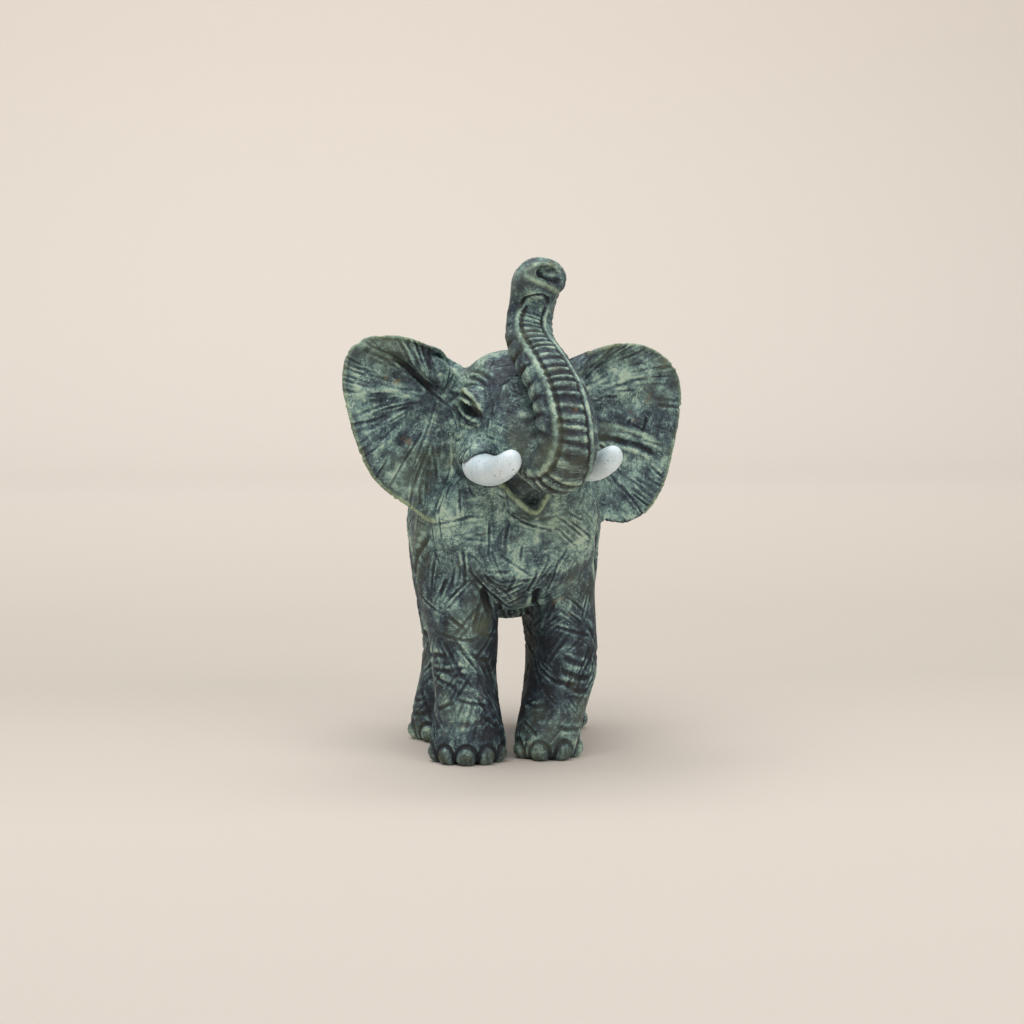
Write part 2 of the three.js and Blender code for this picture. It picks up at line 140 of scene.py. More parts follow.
def bump(value, middle, reach):
    """A soft hill of height 1 at the middle that ends at the reach."""
    part = np.clip(np.abs(value - middle) / reach, 0, 1)
    return (1 - part * part) ** 2


print("Helpers ready; a millimetre is", MM, "m")

# %% [markdown]
# ## The shape in words
# The figure's proportions are shares of its height, as in the CAD: one unit
# is a hundredth of the 150 mm height. The head is turned to the figure's left,
# so the head, ears and trunk have their own directions: left, forward and up.

# %% Proportions and directions
UNIT = 1.5
SHIFT = np.array([-1.964, 21.824, 0.0])
HEAD_TURN = math.radians(20)
HEAD_POST = np.array([0.0, -25.0, 0.0])
LEFT = np.array([math.cos(HEAD_TURN), math.sin(HEAD_TURN), 0.0])
FORWARD = np.array([math.sin(HEAD_TURN), -math.cos(HEAD_TURN), 0.0])
UP = np.array([0.0, 0.0, 1.0])


def to_units(points):
    """From millimetres in the finished frame to units of the whole figure."""
    return (points - SHIFT) / UNIT


def head_units(units):
    """From units of the whole figure to left, forward and up of the head."""
    away = units - HEAD_POST
    return np.stack([away @ LEFT, away @ FORWARD, away[:, 2]], axis=1)


def head_to_mm(left, forward, up):
    """A place given in the head's units, in millimetres in the frame."""
    return (HEAD_POST + LEFT * left + FORWARD * forward + UP * up) * UNIT + SHIFT


print("One unit is", UNIT, "mm; the head turns", round(math.degrees(HEAD_TURN)), "degrees")

# %% [markdown]
# ## The camera
# The photograph was taken with a longish lens from just above the figure's
# middle, a little to its right. A long lens keeps the figure's sides parallel.

# %% Camera
CAMERA_AZIMUTH = math.radians(-6)
CAMERA_HEIGHT_ANGLE = math.radians(6)
CAMERA_DISTANCE = 900.0
CAMERA_TARGET = np.array([0.6, -17.0, 48.5]) * UNIT + SHIFT
PIXELS_ACROSS = 1024
FOCAL_PIXELS = 3012.0
SENSOR_WIDTH = 36.0

camera_back = np.array([
    math.sin(CAMERA_AZIMUTH) * math.cos(CAMERA_HEIGHT_ANGLE),
    -math.cos(CAMERA_AZIMUTH) * math.cos(CAMERA_HEIGHT_ANGLE),
    math.sin(CAMERA_HEIGHT_ANGLE),
])
camera_place = CAMERA_TARGET + camera_back * CAMERA_DISTANCE
camera_data = bpy.data.cameras.new("camera")
camera_data.sensor_width = SENSOR_WIDTH
camera_data.sensor_fit = "HORIZONTAL"
camera_data.lens = FOCAL_PIXELS / PIXELS_ACROSS * SENSOR_WIDTH
camera_data.clip_start = 10 * MM
camera = bpy.data.objects.new("camera", camera_data)
camera.location = Vector(camera_place * MM)
camera.rotation_euler = Vector(-camera_back).to_track_quat("-Z", "Y").to_euler()
bpy.context.scene.collection.objects.link(camera)
bpy.context.scene.camera = camera
print("Lens", round(camera_data.lens, 1), "mm at", (camera_place * MM).round(3))

# %% [markdown]
# ## The casting, one skin
# The real figure is one hollow or solid casting, modelled by hand in clay
# before it was moulded. So the CAD solid is copied, its doubles are merged and
# a voxel remesh turns it into one even skin, like fresh clay, ready to carve.

# %% Remesh the casting
CLAY_VOXEL = 0.45

casting = copy_of_node("elephant", "painted_casting")
apply_modifier(casting, "REMESH", mode="VOXEL", voxel_size=CLAY_VOXEL * MM)
print("Clay skin:", len(casting.data.vertices), "points")

# %% [markdown]
# The facets of the CAD have to go where the clay is round, but the thin ear
# rims and the small forms of the face must stay crisp. So the smoothing is
# weighted: full on the body and legs, weak on the ears, trunk and feet.

# %% Edges of the skin
edge_ends = np.empty(len(casting.data.edges) * 2, dtype=np.int64)
casting.data.edges.foreach_get("vertices", edge_ends)
edge_ends = edge_ends.reshape(-1, 2)
point_count = len(casting.data.vertices)
neighbours = np.bincount(edge_ends.ravel(), minlength=point_count)


def average_of_neighbours(values):
    """The mean of each point's neighbours, for a column or rows of values."""
    columns = values.reshape(point_count, -1)
    mean = np.empty_like(columns)
    for column in range(columns.shape[1]):
        total = np.bincount(edge_ends[:, 0], columns[edge_ends[:, 1], column], point_count)
        total += np.bincount(edge_ends[:, 1], columns[edge_ends[:, 0], column], point_count)
        mean[:, column] = total / np.maximum(neighbours, 1)
    return mean.reshape(values.shape)


def relax(values, weight, rounds):
    """Move values towards their neighbours' mean, by the weight, some rounds."""
    for _ in range(rounds):
        values = values + weight * (average_of_neighbours(values) - values)
    return values


print("Edges of the skin:", len(edge_ends))

# %% [markdown]
# ## Regions
# Each later step works on one part of the figure, so every point first learns
# where it is. For the trunk that is how far along it and on which side, so the
# trunk is described by a line through its middle with a half width all along.

# %% The trunk's line
TRUNK_LINE = np.array([
    [0, 1, 71], [0, 7, 68.8], [0, 11.4, 65], [0, 14.6, 61.2], [0, 19.2, 59.9],
    [-0.1, 23, 62.6], [-0.3, 23.7, 67.6], [-0.7, 21.7, 73], [-1.4, 17.3, 78],
    [-1.8, 11.4, 82.6], [-0.6, 8, 86.8], [0.5, 7.4, 91], [0.3, 9.6, 94.6],
    [0.2, 12.5, 95.7], [0.2, 13.7, 95.6],
])
TRUNK_HALF = np.array([8.3, 7.9, 7.2, 6.6, 6.1, 5.9, 5.8, 5.5, 5.1, 4.8, 4.6, 4.7, 5.3, 5.3, 4.4])


def smooth_line(stations, per_span):
    """A Catmull-Rom curve through the stations, as many points."""
    ends = np.vstack([stations[:1], stations, stations[-1:]])
    spots = []
    for index in range(len(stations) - 1):
        a, b, c, d = ends[index:index + 4]
        for step in range(per_span):
            t = step / per_span
            spots.append(0.5 * (2 * b + (c - a) * t + (2 * a - 5 * b + 4 * c - d) * t * t
                                + (3 * b - a - 3 * c + d) * t ** 3))
    spots.append(stations[-1])
    return np.array(spots)


trunk_spots = smooth_line(np.column_stack([TRUNK_LINE, TRUNK_HALF]), 12)
trunk_half = trunk_spots[:, 3]
trunk_spots = trunk_spots[:, :3]
trunk_steps = np.linalg.norm(np.diff(trunk_spots, axis=0), axis=1)
trunk_run = np.concatenate([[0], np.cumsum(trunk_steps)])
trunk_way = np.gradient(trunk_spots, axis=0)
trunk_way /= np.linalg.norm(trunk_way, axis=1, keepdims=True)
print("The trunk is", round(trunk_run[-1] * UNIT), "mm long")


def trunk_places(head):
    """For each point: run along the trunk, side way, up-side way, nearness."""
    best = np.full(len(head), np.inf)
    place = np.zeros(len(head), dtype=np.int64)
    for index, spot in enumerate(trunk_spots):
        away = ((head - spot) ** 2).sum(axis=1) / trunk_half[index] ** 2
        nearer = away < best
        best[nearer] = away[nearer]
        place[nearer] = index
    offset = head - trunk_spots[place]
    way = trunk_way[place]
    run = trunk_run[place] + (offset * way).sum(axis=1)
    upper = np.cross(np.array([1.0, 0.0, 0.0]), way)
    side = offset[:, 0]
    top = (offset * upper).sum(axis=1)
    return run, side, top, np.sqrt(best)


# %% [markdown]
# A point is part of an ear when it lies close to that ear's plane. The other
# regions are plain boxes, because their borders don't have to be exact.

# %% Regions of the skin
TRUNK_REACH = 1.15
EAR_FROM = 11.6
EAR_SHEET = 4.6
EAR_LOWEST = -27
FOOT_TOP = 5.5
LEG_TOP = 36
TAIL_TOP = 56

points = read_points(casting)
units = to_units(points)
head = head_units(units)
trunk_at, _, _, trunk_near = trunk_places(head)


def ear_places(head, side, middle, sweep):
    """For each point: how far out, up and in front of the ear's own sheet."""
    out_way = np.array([side * math.cos(sweep), -math.sin(sweep), 0.0])
    facing = np.array([math.sin(sweep) * side, math.cos(sweep), 0.0])
    away = head - np.array(middle)
    return away @ out_way, away[:, 2], away @ facing


RIGHT_EAR = dict(side=-1, middle=(-13.5, -4.8, 72.6), sweep=math.radians(12))
LEFT_EAR = dict(side=1, middle=(18.5, -5.2, 71.6), sweep=math.radians(2))


def region_masks(units, head, near):
    """Which points are ear, trunk, head, leg, foot, tail or body."""
    masks = {}
    masks["trunk"] = (near < TRUNK_REACH) & (head[:, 1] > 9) & (head[:, 2] > 53)
    for name, values in (("ear_right", RIGHT_EAR), ("ear_left", LEFT_EAR)):
        out, up, lift = ear_places(head, **values)
        beyond = head[:, 0] * values["side"] > EAR_FROM
        masks[name] = beyond & (np.abs(lift) < EAR_SHEET) & (up > EAR_LOWEST) & (head[:, 2] > 47)
        masks[name] &= ~((np.abs(units[:, 0]) < 20) & (units[:, 2] < 55) & (np.abs(lift) > 2.6))
    masks["head"] = (head[:, 2] > 50) & (np.abs(head[:, 0]) < 12.6) & (head[:, 1] > -7)
    masks["head"] &= ~masks["ear_right"] & ~masks["ear_left"] & ~masks["trunk"]
    masks["head"] &= units[:, 1] < -14
    masks["tail"] = (units[:, 1] > 17.5) & (np.abs(units[:, 0]) < 5) & (units[:, 2] < TAIL_TOP)
    masks["foot"] = units[:, 2] < FOOT_TOP
    masks["leg"] = (units[:, 2] < LEG_TOP) & ~masks["tail"] & ~masks["foot"]
    masks["body"] = ~np.any(list(masks.values()), axis=0)
    return masks


masks = region_masks(units, head, trunk_near)
print({name: int(mask.sum()) for name, mask in masks.items()})

# %% [markdown]
# A vertex group says how much each point is smoothed, in a few steps of
# strength, and the Smooth modifier does the work in one go.

# %% Smooth the facets away
ROUNDING = {"body": 1.0, "leg": 0.9, "foot": 0.8, "tail": 0.4, "head": 0.8,
            "trunk": 0.5, "ear_right": 0.3, "ear_left": 0.3}
EYE_LEVEL = 69.9
EYE_SPOTS = [np.array([side * 9.6, 4.2, EYE_LEVEL]) for side in (-1, 1)]
ROUNDING_STEPS = 10
ROUNDING_ROUNDS = 120
TRUNK_ROOT = 14

strength = np.zeros(point_count)
for name, amount in ROUNDING.items():
    strength[masks[name]] = amount
strength[masks["trunk"] & (trunk_at < TRUNK_ROOT)] = 1.0
for spot in EYE_SPOTS:
    reach = np.linalg.norm(head - spot, axis=1)
    strength *= 1 - 0.8 * (1 - smooth_step(reach, 2.5, 4.5))
strength = relax(strength, 0.6, 25)
group = casting.vertex_groups.new(name="rounding")
levels = np.round(strength * ROUNDING_STEPS).astype(int)
for level in range(1, ROUNDING_STEPS + 1):
    members = np.nonzero(levels == level)[0].tolist()
    if members:
        group.add(members, level / ROUNDING_STEPS, "REPLACE")
apply_modifier(casting, "SMOOTH", factor=0.5, iterations=ROUNDING_ROUNDS,
               vertex_group="rounding")
print("Smoothed", int((levels > 0).sum()), "points")

# %% [markdown]
# ## Carving
# A sculptor presses and cuts clay with a few simple tools. Here each tool is a
# height in millimetres along the surface's normal: below zero is a cut and
# above zero is clay pushed up. All heights are added up, and the points move.

# %% The carver's bench
LINE_SPACING = 0.35

points = read_points(casting)
normals = read_normals(casting)
units = to_units(points)
head = head_units(units)
trunk_at, trunk_side, trunk_top, trunk_near = trunk_places(head)
trunk_angle = np.arctan2(trunk_side, -trunk_top)
height = np.zeros(point_count)
# Tints that the paint reads: rim paint, painted shade, painted light, a warm wash and the black
# eye.
tint = {name: np.zeros(point_count) for name in ("rim", "shade", "painted_light", "warm", "eye")}


def build_tree(places):
    """A search tree over the points, to find those near a place."""
    tree = kdtree.KDTree(len(places))
    for index, place in enumerate(places):
        tree.insert(place, index)
    tree.balance()
    return tree


skin_tree = build_tree(points)


def line_on_skin(corners):
    """A smooth line through corners in millimetres, laid onto the skin."""
    smooth = smooth_line(np.array(corners, dtype=float), 8)
    steps = np.linalg.norm(np.diff(smooth, axis=0), axis=1)
    run = np.concatenate([[0], np.cumsum(steps)])
    wanted = np.linspace(0, run[-1], max(2, int(run[-1] / LINE_SPACING)))
    spots = np.stack([np.interp(wanted, run, smooth[:, axis]) for axis in range(3)], axis=1)
    snapped = np.array([points[skin_tree.find(spot)[1]] for spot in spots])
    width = np.array([1, 2, 3, 2, 1]) / 9
    for axis in range(3):
        padded = np.pad(snapped[:, axis], 2, mode="edge")
        snapped[:, axis] = np.convolve(padded, width, mode="valid")
    return snapped


def near_line(line, reach):
    """The points within reach of a line: indices, distance and share along."""
    found = {}
    last = max(1, len(line) - 1)
    for step, spot in enumerate(line):
        for _, index, distance in skin_tree.find_range(spot, reach):
            if distance < found.get(index, (reach, 0))[0]:
                found[index] = (distance, step / last)
    indices = np.fromiter(found.keys(), dtype=np.int64)
    values = np.array(list(found.values())).reshape(-1, 2)
    return indices, values[:, 0], values[:, 1]


def lift_tint(name, where, values):
    """Bring one tint up to these values where it is below them."""
    tint[name][where] = np.maximum(tint[name][where], values)


def crease(corners, half_width, depth, raised=0.0, tip=0.25, rim=0.0, shade=0.0):
    """Press a line into the clay, or raise one where depth is below zero."""
    line = line_on_skin(corners)
    reach = half_width * (2.4 if raised else 1.3)
    indices, distance, share = near_line(line, reach)
    taper = np.minimum(smooth_step(share, 0, tip), smooth_step(1 - share, 0, tip)) if tip else 1
    cut = bump(distance, 0, half_width) * taper
    height[indices] -= depth * cut
    height[indices] += raised * bump(distance, half_width * 1.5, half_width * 0.8) * taper
    # Painted shade along the crease, as strong as the shade argument; the rim is dry-brushed paint.
    lift_tint("shade", indices, shade * cut)
    lift_tint("rim", indices, rim * cut)


print("Ready to carve", point_count, "points")

# %% [markdown]
# ## The ears
# The ears are thin sheets with soft pleats that run out from their roots, a
# rolled top edge and a raised rim. The pleats are a wave around the root, and
# the rim is found from its distance to the outline, in steps of 20 degrees.

# %% Carve the ears
EAR_OUTLINE_STEP = 20
RIGHT_REACHES = [8.7, 10.7, 15.2, 20.2, 19.9, 18.9, 19.3, 21.2, 22.4, 24.8, 17.5]
LEFT_REACHES = [8.4, 10.2, 13.3, 17.6, 21.2, 21.8, 23, 26.4, 28.4, 23, 12.5]


def carve_ear(mask, values, reaches, root_out, root_up, pleats, phase, pleat_height):
    """Pleats that fan out from the root, and a raised rim."""
    out, up, lift = ear_places(head, **values)
    turn = np.degrees(np.arctan2(out, up)) % 360
    outline = smooth_line(np.array(reaches, dtype=float)[:, None], 6)[:, 0]
    spread = np.linspace(0, EAR_OUTLINE_STEP * (len(reaches) - 1), len(outline))
    to_edge = (np.interp(turn, spread, outline) - np.hypot(out, up)) * UNIT
    fan = np.arctan2(out - root_out, up - root_up)
    away = np.hypot(out - root_out, up - root_up)
    share = np.clip(away / (away + np.maximum(to_edge, 0) / UNIT + 0.01), 0, 1)
    wander = 0.35 * np.sin(away * 0.5 + 2 * fan) + phase
    broad = np.cos(fan * pleats + wander)
    small = np.cos(fan * pleats * 2.7 + 3 * wander + away * 0.15)
    sharp = np.sign(broad) * np.abs(broad) ** 0.6
    wave = pleat_height * (sharp + 0.3 * small) * bump(share, 0.6, 0.5)
    rim = bump(to_edge, 0.3, 1.1)
    ragged = 0.55 + 0.45 * np.sin(turn * 0.31 + 2 * np.sin(turn * 0.13))
    low_lobe = smooth_step(turn, 95, 150)
    edge = mask & (turn < spread[-1])
    height[mask] += wave[mask]
    height[edge] += 0.3 * rim[edge]
    worn_rim = rim * smooth_step(away, 8, 14) * (0.3 + 0.5 * ragged + 0.5 * low_lobe)
    lift_tint("rim", edge, worn_rim[edge])
    # Painted shade near the root, where the ear meets the head.
    tint["shade"][mask] += (0.5 * smooth_step(-away, -7, -2))[mask]


carve_ear(masks["ear_right"], RIGHT_EAR, RIGHT_REACHES, root_out=0, root_up=-1,
          pleats=9, phase=0.4, pleat_height=0.38)
carve_ear(masks["ear_left"], LEFT_EAR, LEFT_REACHES, root_out=-6.5, root_up=-1,
          pleats=8, phase=1.3, pleat_height=0.2)


def head_line(corners):
    """Corners in the head's units as millimetres."""
    return [head_to_mm(*corner) for corner in corners]


# Painted shadow under the right ear's rolled top edge, and painted shade in the left ear's creases;
# its raised fold gets rim paint.
crease(head_line([(-14, -5, 72.6), (-17, -6, 75.4), (-20.4, -6, 78), (-24, -5.6, 80)]),
       1.5, 0.9, shade=1.0)
crease(head_line([(19, -5.2, 63.4), (24, -5.2, 62.6), (28, -5, 61.6), (31.5, -4.8, 60.5),
                  (36.5, -4.4, 57.9)]), 1.2, 0.7, raised=0.4, tip=0.3, shade=0.45)
crease(head_line([(20, -5.2, 65.6), (26, -5.2, 64.6), (32, -4.8, 62.8), (36.5, -4.4, 60)]),
       1.8, -0.6, rim=0.25)
crease(head_line([(32.4, -4.8, 67), (32, -4.8, 65), (31, -4.8, 63.4)]), 0.8, 0.7, shade=0.7)
crease(head_line([(29, -4.8, 66.6), (28.4, -4.8, 65)]), 0.7, 0.6, shade=0.6)
print("Ears carved")

# %% [markdown]
# ## The trunk
# Seen from the front, the trunk shows a flat band of cross bars between two
# raised borders. Its right flank has a row of scallops, and a painted shadow
# lies in the gap behind them.
# The bars are a wave of the run along the trunk, so they follow its bends.

# %% Carve the trunk
BAR_PITCH = 2.4
SCALLOP_PITCH = 5.2
FAR_SIDE_PITCH = 3.1
BACK_PITCH = 3.6

on_trunk = masks["trunk"]
run_mm = trunk_at * UNIT
trunk_share = trunk_at / trunk_run[-1]
low_bend = 1 - smooth_step(trunk_share, 0.25, 0.45)
left_border = -0.86 - 0.7 * low_bend
right_border = 0.48 + 0.3 * low_bend
band_middle = (left_border + right_border) / 2
band_half = (right_border - left_border) / 2
barred = smooth_step(-np.abs(trunk_angle - band_middle) / band_half, -0.98, -0.82)
barred *= smooth_step(trunk_share, 0.14, 0.2) * (1 - smooth_step(trunk_share, 0.8, 0.86))
bar_phase = 2 * math.pi * (run_mm + 1.1 * (trunk_angle - band_middle)) / BAR_PITCH
bar_phase += 0.8 * np.sin(run_mm * 0.53) + 0.5 * np.sin(run_mm * 1.7 + 3 * trunk_angle)
bar_wave = 0.5 + 0.5 * np.cos(bar_phase)
narrow = smooth_step(trunk_share, 0.35, 0.55)
bars = bar_wave ** (0.9 + 0.8 * narrow)
bar_height = 0.55 + 0.35 * low_bend - 0.25 * smooth_step(trunk_share, 0.6, 0.8)
borders = bump(trunk_angle, left_border, 0.2) + 0.8 * bump(trunk_angle, right_border + 0.08, 0.14)
grooves = bump(trunk_angle, left_border + 0.19, 0.12) + bump(trunk_angle, right_border - 0.1, 0.1)
ends = smooth_step(trunk_share, 0.24, 0.36) * (1 - smooth_step(trunk_share, 0.84, 0.9))
flank = bump(trunk_angle, -1.7, 0.75)
scallop = np.abs(np.cos(math.pi * run_mm / SCALLOP_PITCH + 1.2 * trunk_angle))
scallop_ends = smooth_step(trunk_share, 0.36, 0.44) * (1 - smooth_step(trunk_share, 0.9, 0.95))
far_flank = bump(trunk_angle, 1.5, 0.8)
far_wave = np.cos(2 * math.pi * run_mm / FAR_SIDE_PITCH + np.sin(run_mm * 0.8))
trunk_form = bar_height * (bars - 0.5) * barred + (0.45 * borders - 0.5 * grooves) * ends
trunk_form += 1.5 * (scallop ** 0.6 - 0.7) * flank * scallop_ends
trunk_form += 0.22 * far_wave * far_flank
back_wrinkles = np.cos(2 * math.pi * run_mm / BACK_PITCH + 2 * np.sin(trunk_angle * 2))
trunk_form += 0.2 * back_wrinkles * smooth_step(np.abs(trunk_angle), 1.9, 2.5)
height[on_trunk] += trunk_form[on_trunk]
uneven = 0.6 + 0.4 * np.sin(run_mm * 0.9 + 2.5 * trunk_angle) * np.sin(run_mm * 0.37)
lit = 0.5 * uneven * (0.75 * borders * ends + (0.4 + 0.3 * narrow) * bars * barred)
lift_tint("rim", on_trunk, np.clip(lit, 0, 1)[on_trunk])
# Painted shade in the grooves, between the bars and over the scalloped flank.
dark = 0.8 * grooves * ends + 0.5 * (1 - bars) * barred
dark += (0.3 + 0.6 * (1 - scallop)) * flank * scallop_ends
tint["shade"][on_trunk] += np.clip(dark, 0, 1)[on_trunk]
tint["warm"][on_trunk] += (0.6 * flank + 0.35 * barred * (1 - narrow))[on_trunk]
# Painted shade in the arched groove under the tip and in the crescent above its lip; the raised lip
# and roof get rim paint.
crease(head_line([(-3.8, 9.4, 88.4), (-3.1, 10.8, 91), (-2, 12.6, 92.1), (-0.6, 13, 92.3),
                  (1, 12.4, 91.8), (3, 10.3, 89.8)]), 0.8, 0.7, shade=0.9)
crease(head_line([(-1.8, 12.8, 96.5), (0.2, 12.6, 96), (2, 13.2, 95.3), (3.6, 13, 94.5)]),
       1.4, 1.5, shade=1.0)
crease(head_line([(-4.4, 13, 95.9), (-1.6, 13.6, 94.9), (1.2, 13.5, 93.7), (3.9, 12, 92.9)]),
       1.3, -0.55, rim=0.65)
crease(head_line([(-4.4, 13, 96.4), (-2.2, 13.9, 98), (0.2, 13.9, 98.3), (2.8, 13.2, 97.5),
                  (4.4, 12.6, 95.4)]), 0.9, -0.35, rim=0.3)
# Painted shadow on the skin in the gap beside the trunk.
beside_trunk = ~on_trunk & (trunk_share > 0.52) & (trunk_share < 0.86) & (trunk_near < 1.6)
gap_shadow = bump(trunk_near, 1.3, 0.3)
height[beside_trunk] -= 0.6 * gap_shadow[beside_trunk]
tint["shade"][beside_trunk] += 0.9 * gap_shadow[beside_trunk]
print("Trunk carved with bars every", BAR_PITCH, "mm")

# %% [markdown]
# ## The face
# The eye is a gloss black ball between a heavy upper lid, which hangs down at
# its front, and a thin lower lid. More folds curl round below and above it.

# %% Carve the face
EYE_HALF_LENGTH = 4.5
EYE_HALF_HEIGHT = 1.25


def eye_line(side, corners, above=0):
    """Corners left, forward and up from an eye's level, as millimetres."""
    return head_line([(side * left, ahead, EYE_LEVEL + high + above)
                      for left, ahead, high in corners])


def carve_eye(side):
    """The ball, the lids and the folds around one eye."""
    forward, up = head[:, 1], head[:, 2]
    beside = masks["head"] & (head[:, 0] * side > 7.5)
    tilt = up - (EYE_LEVEL + 0.35 - 0.19 * (forward - 3))
    almond = np.hypot((forward - 3.3) / EYE_HALF_LENGTH, tilt / EYE_HALF_HEIGHT)
    inside = beside & (almond < 1)
    dome = np.sqrt(np.clip(1 - almond ** 2, 0, 1))
    height[inside] += (0.55 * dome - 0.75)[inside]
    lift_tint("eye", beside, 1 - smooth_step(almond, 0.8, 0.98)[beside])
    socket = bump(almond, 1.75, 0.5) * (1 - smooth_step(forward, 5, 7.5))
    height[beside] -= 0.35 * socket[beside]
    # Painted shade round the edge of the eye and in the socket around it.
    tint["shade"][beside] += (0.8 * bump(almond, 1.0, 0.22) + 0.5 * socket)[beside]
    tint["shade"][inside] = 0
    lid = [(11, -1.4, 1.6), (11.4, 1.6, 2.2), (11.2, 4.2, 1.6), (10.8, 6, 0.3),
           (10.4, 7.2, -1.2)]
    under = [(11.2, 2.4, -1.2), (11.1, 3.6, -1.6), (11, 5, -1.9), (10.5, 7.4, -1.9)]
    brow = [(11, -2.6, 3), (11.6, 1, 4), (11.4, 4, 3.3), (10.9, 6.4, 1.4), (10.4, 8.2, -1)]
    bag = [(11.3, 0.4, -2.4), (11.2, 3.6, -3.2), (10.6, 6.6, -2.8), (10.2, 8, -1.8)]
    for corners, wide, deep, lit in ((lid, 0.8, -0.7, 0.5), (under, 0.6, -0.4, 0.35),
                                     (brow, 1.2, -0.8, 0.6), (bag, 0.7, -0.4, 0.35)):
        crease(eye_line(side, corners), wide, deep, tip=0.2, rim=lit)
    # Painted shadow under the upper lid's edge and below the lower lid.
    crease(eye_line(side, lid[1:], 1.15), 0.6, 0.5, shade=0.8)
    crease(eye_line(side, under, -1.1), 0.6, 0.4, shade=0.7)


for side in (-1, 1):
    carve_eye(side)
    # Folds below and above the eye, each with painted shade in it.
    for rise in (-6.5, -8.6, -11):
        fold = eye_line(side, [(11.4, -1.5, 1.4), (11, 2.5, 0), (10, 6.5, 0.6)], rise)
        crease(fold, 0.8, 0.35, raised=0.15, shade=0.4)
    for rise in (6.2, 8.2):
        fold = eye_line(side, [(10, -2, 0.5), (9, 3, -0.4), (8, 7, -2.4)], rise)
        crease(fold, 0.9, 0.35, raised=0.2, shade=0.4)
LIP = [(-8.4, 3.4, 57.2), (-5.4, 5.6, 55.6), (-3.4, 7.4, 53), (-1.2, 9, 50.7), (0, 9.8, 49.9),
       (1.2, 9, 50.7), (3.4, 7.4, 53), (5.4, 5.6, 55.6), (8.4, 3.4, 57.2)]
crease(head_line(LIP), 1.2, -0.4, tip=0.05, rim=1.0)
# Painted shade inside the mouth.
in_mouth = np.hypot(head[:, 0] / 5.6, (head[:, 2] - 55.4) / 3.4) < 1
in_mouth &= (head[:, 1] > 0) & (head[:, 1] < 9) & ~on_trunk
tint["shade"][in_mouth & (normals[:, 2] > -0.2)] += 0.6
# Painted shadow on the middle of the face, behind the raised trunk.
behind_trunk = masks["head"] & (head[:, 1] > 0) & (head[:, 2] > 60)
middle = (1 - smooth_step(np.abs(head[:, 0] + 2), 5, 8.5)) * bump(head[:, 2], 75, 13)
tint["shade"][behind_trunk] += middle[behind_trunk]
print("Face carved")

# %% [markdown]
# ## Feet, knees and the folds of the skin
# Toenails are low pads, each with a groove around it and light paint on top.
# They stand in a fan at the front of each foot, so a turn and the foot's half
# width and depth place them all.

# %% Carve the feet
NAIL_HALF = 1.8
NAIL_TALL = 2.3
NAIL_LEVEL = 1.3
NAIL_FAN = 2.5
NAIL_NEAR = 4.5
# The middle of each sole (left, back), half width, half depth, turn and nails
SOLES = [(-8.9, -24.3, 7.3, 7.2, -0.15, 5), (7.1, -21.6, 6.5, 6.7, 0.05, 4),
         (-11.5, 1, 6.9, 6.9, -0.2, 4), (12, 10.1, 6.6, 6.7, 0.2, 4)]
for left, back, half_wide, half_deep, turn, count in SOLES:
    for nail in range(count):
        fan = (nail / (count - 1) - 0.5) * NAIL_FAN
        swing = turn + fan
        outward = np.array([math.sin(swing), -math.cos(swing), 0])
        spot = np.array([left + math.sin(swing) * half_wide,
                         back - math.cos(swing) * half_deep, NAIL_LEVEL])
        away = units - spot
        close = (np.linalg.norm(away, axis=1) < NAIL_NEAR) & (normals @ outward > -0.1)
        across = away @ np.array([math.cos(swing), math.sin(swing), 0])
        round_nail = np.hypot(across / (NAIL_HALF * (1.1 - 0.2 * abs(fan))), away[:, 2] / NAIL_TALL)
        pad = smooth_step(-round_nail, -1.0, -0.6)
        moat = bump(round_nail, 1.18, 0.3)
        height[close] += (0.25 * pad - 0.5 * moat)[close]
        lift_tint("rim", close, 0.22 * pad[close])
        # Painted shade in the groove round each nail.
        tint["shade"][close] += (0.7 * moat)[close]
print("Toenails:", sum(sole[-1] for sole in SOLES))

# %% [markdown]
# The skin folds curl part of the way round the legs, and a deep crease marks
# where each front leg joins the chest. Each is a smooth line laid onto the
# skin, so it follows the leg's own shape.

# %% Carve the folds
# The legs' middles from the sole up: front right and left, hind right and left
LEG_LINES = [
    [(-8.9, -24.3, 0), (-9, -23.3, 11), (-9.5, -22.8, 18), (-9.7, -22.5, 26), (-10.7, -21.5, 34)],
    [(7.1, -21.6, 0), (8.8, -20.5, 11), (11, -19.7, 18), (10.8, -19.3, 26), (10.2, -18.5, 34)],
    [(-11.5, 1, 0), (-10.5, 2.5, 11), (-9.8, 3.5, 18), (-9.6, 4.5, 26), (-9.8, 7, 34)],
    [(12, 10.1, 0), (12.1, 11.4, 11), (12.2, 11.6, 18), (12, 11, 26), (10.9, 11.5, 34)],
]
LEG_HALF = 6.6
FOLD_LEVELS = (6.8, 9, 12, 16, 18.5, 21, 25)
FOLDS_A_LEVEL = 2
dice = np.random.default_rng(7)


def around_leg(line, level, middle, half_span, tilt, sag):
    """Corners in millimetres of a fold that curls part of the way round a leg."""
    line = np.array(line, dtype=float)
    corners = []
    for share in np.linspace(-1, 1, 6):
        turn = middle + share * half_span
        rise = level + tilt * share - sag * (1 - share * share)
        centre = [np.interp(rise, line[:, 2], line[:, axis]) for axis in (0, 1)]
        corners.append(np.array([centre[0] + LEG_HALF * math.sin(turn),
                                 centre[1] - LEG_HALF * math.cos(turn), rise]) * UNIT + SHIFT)
    return corners


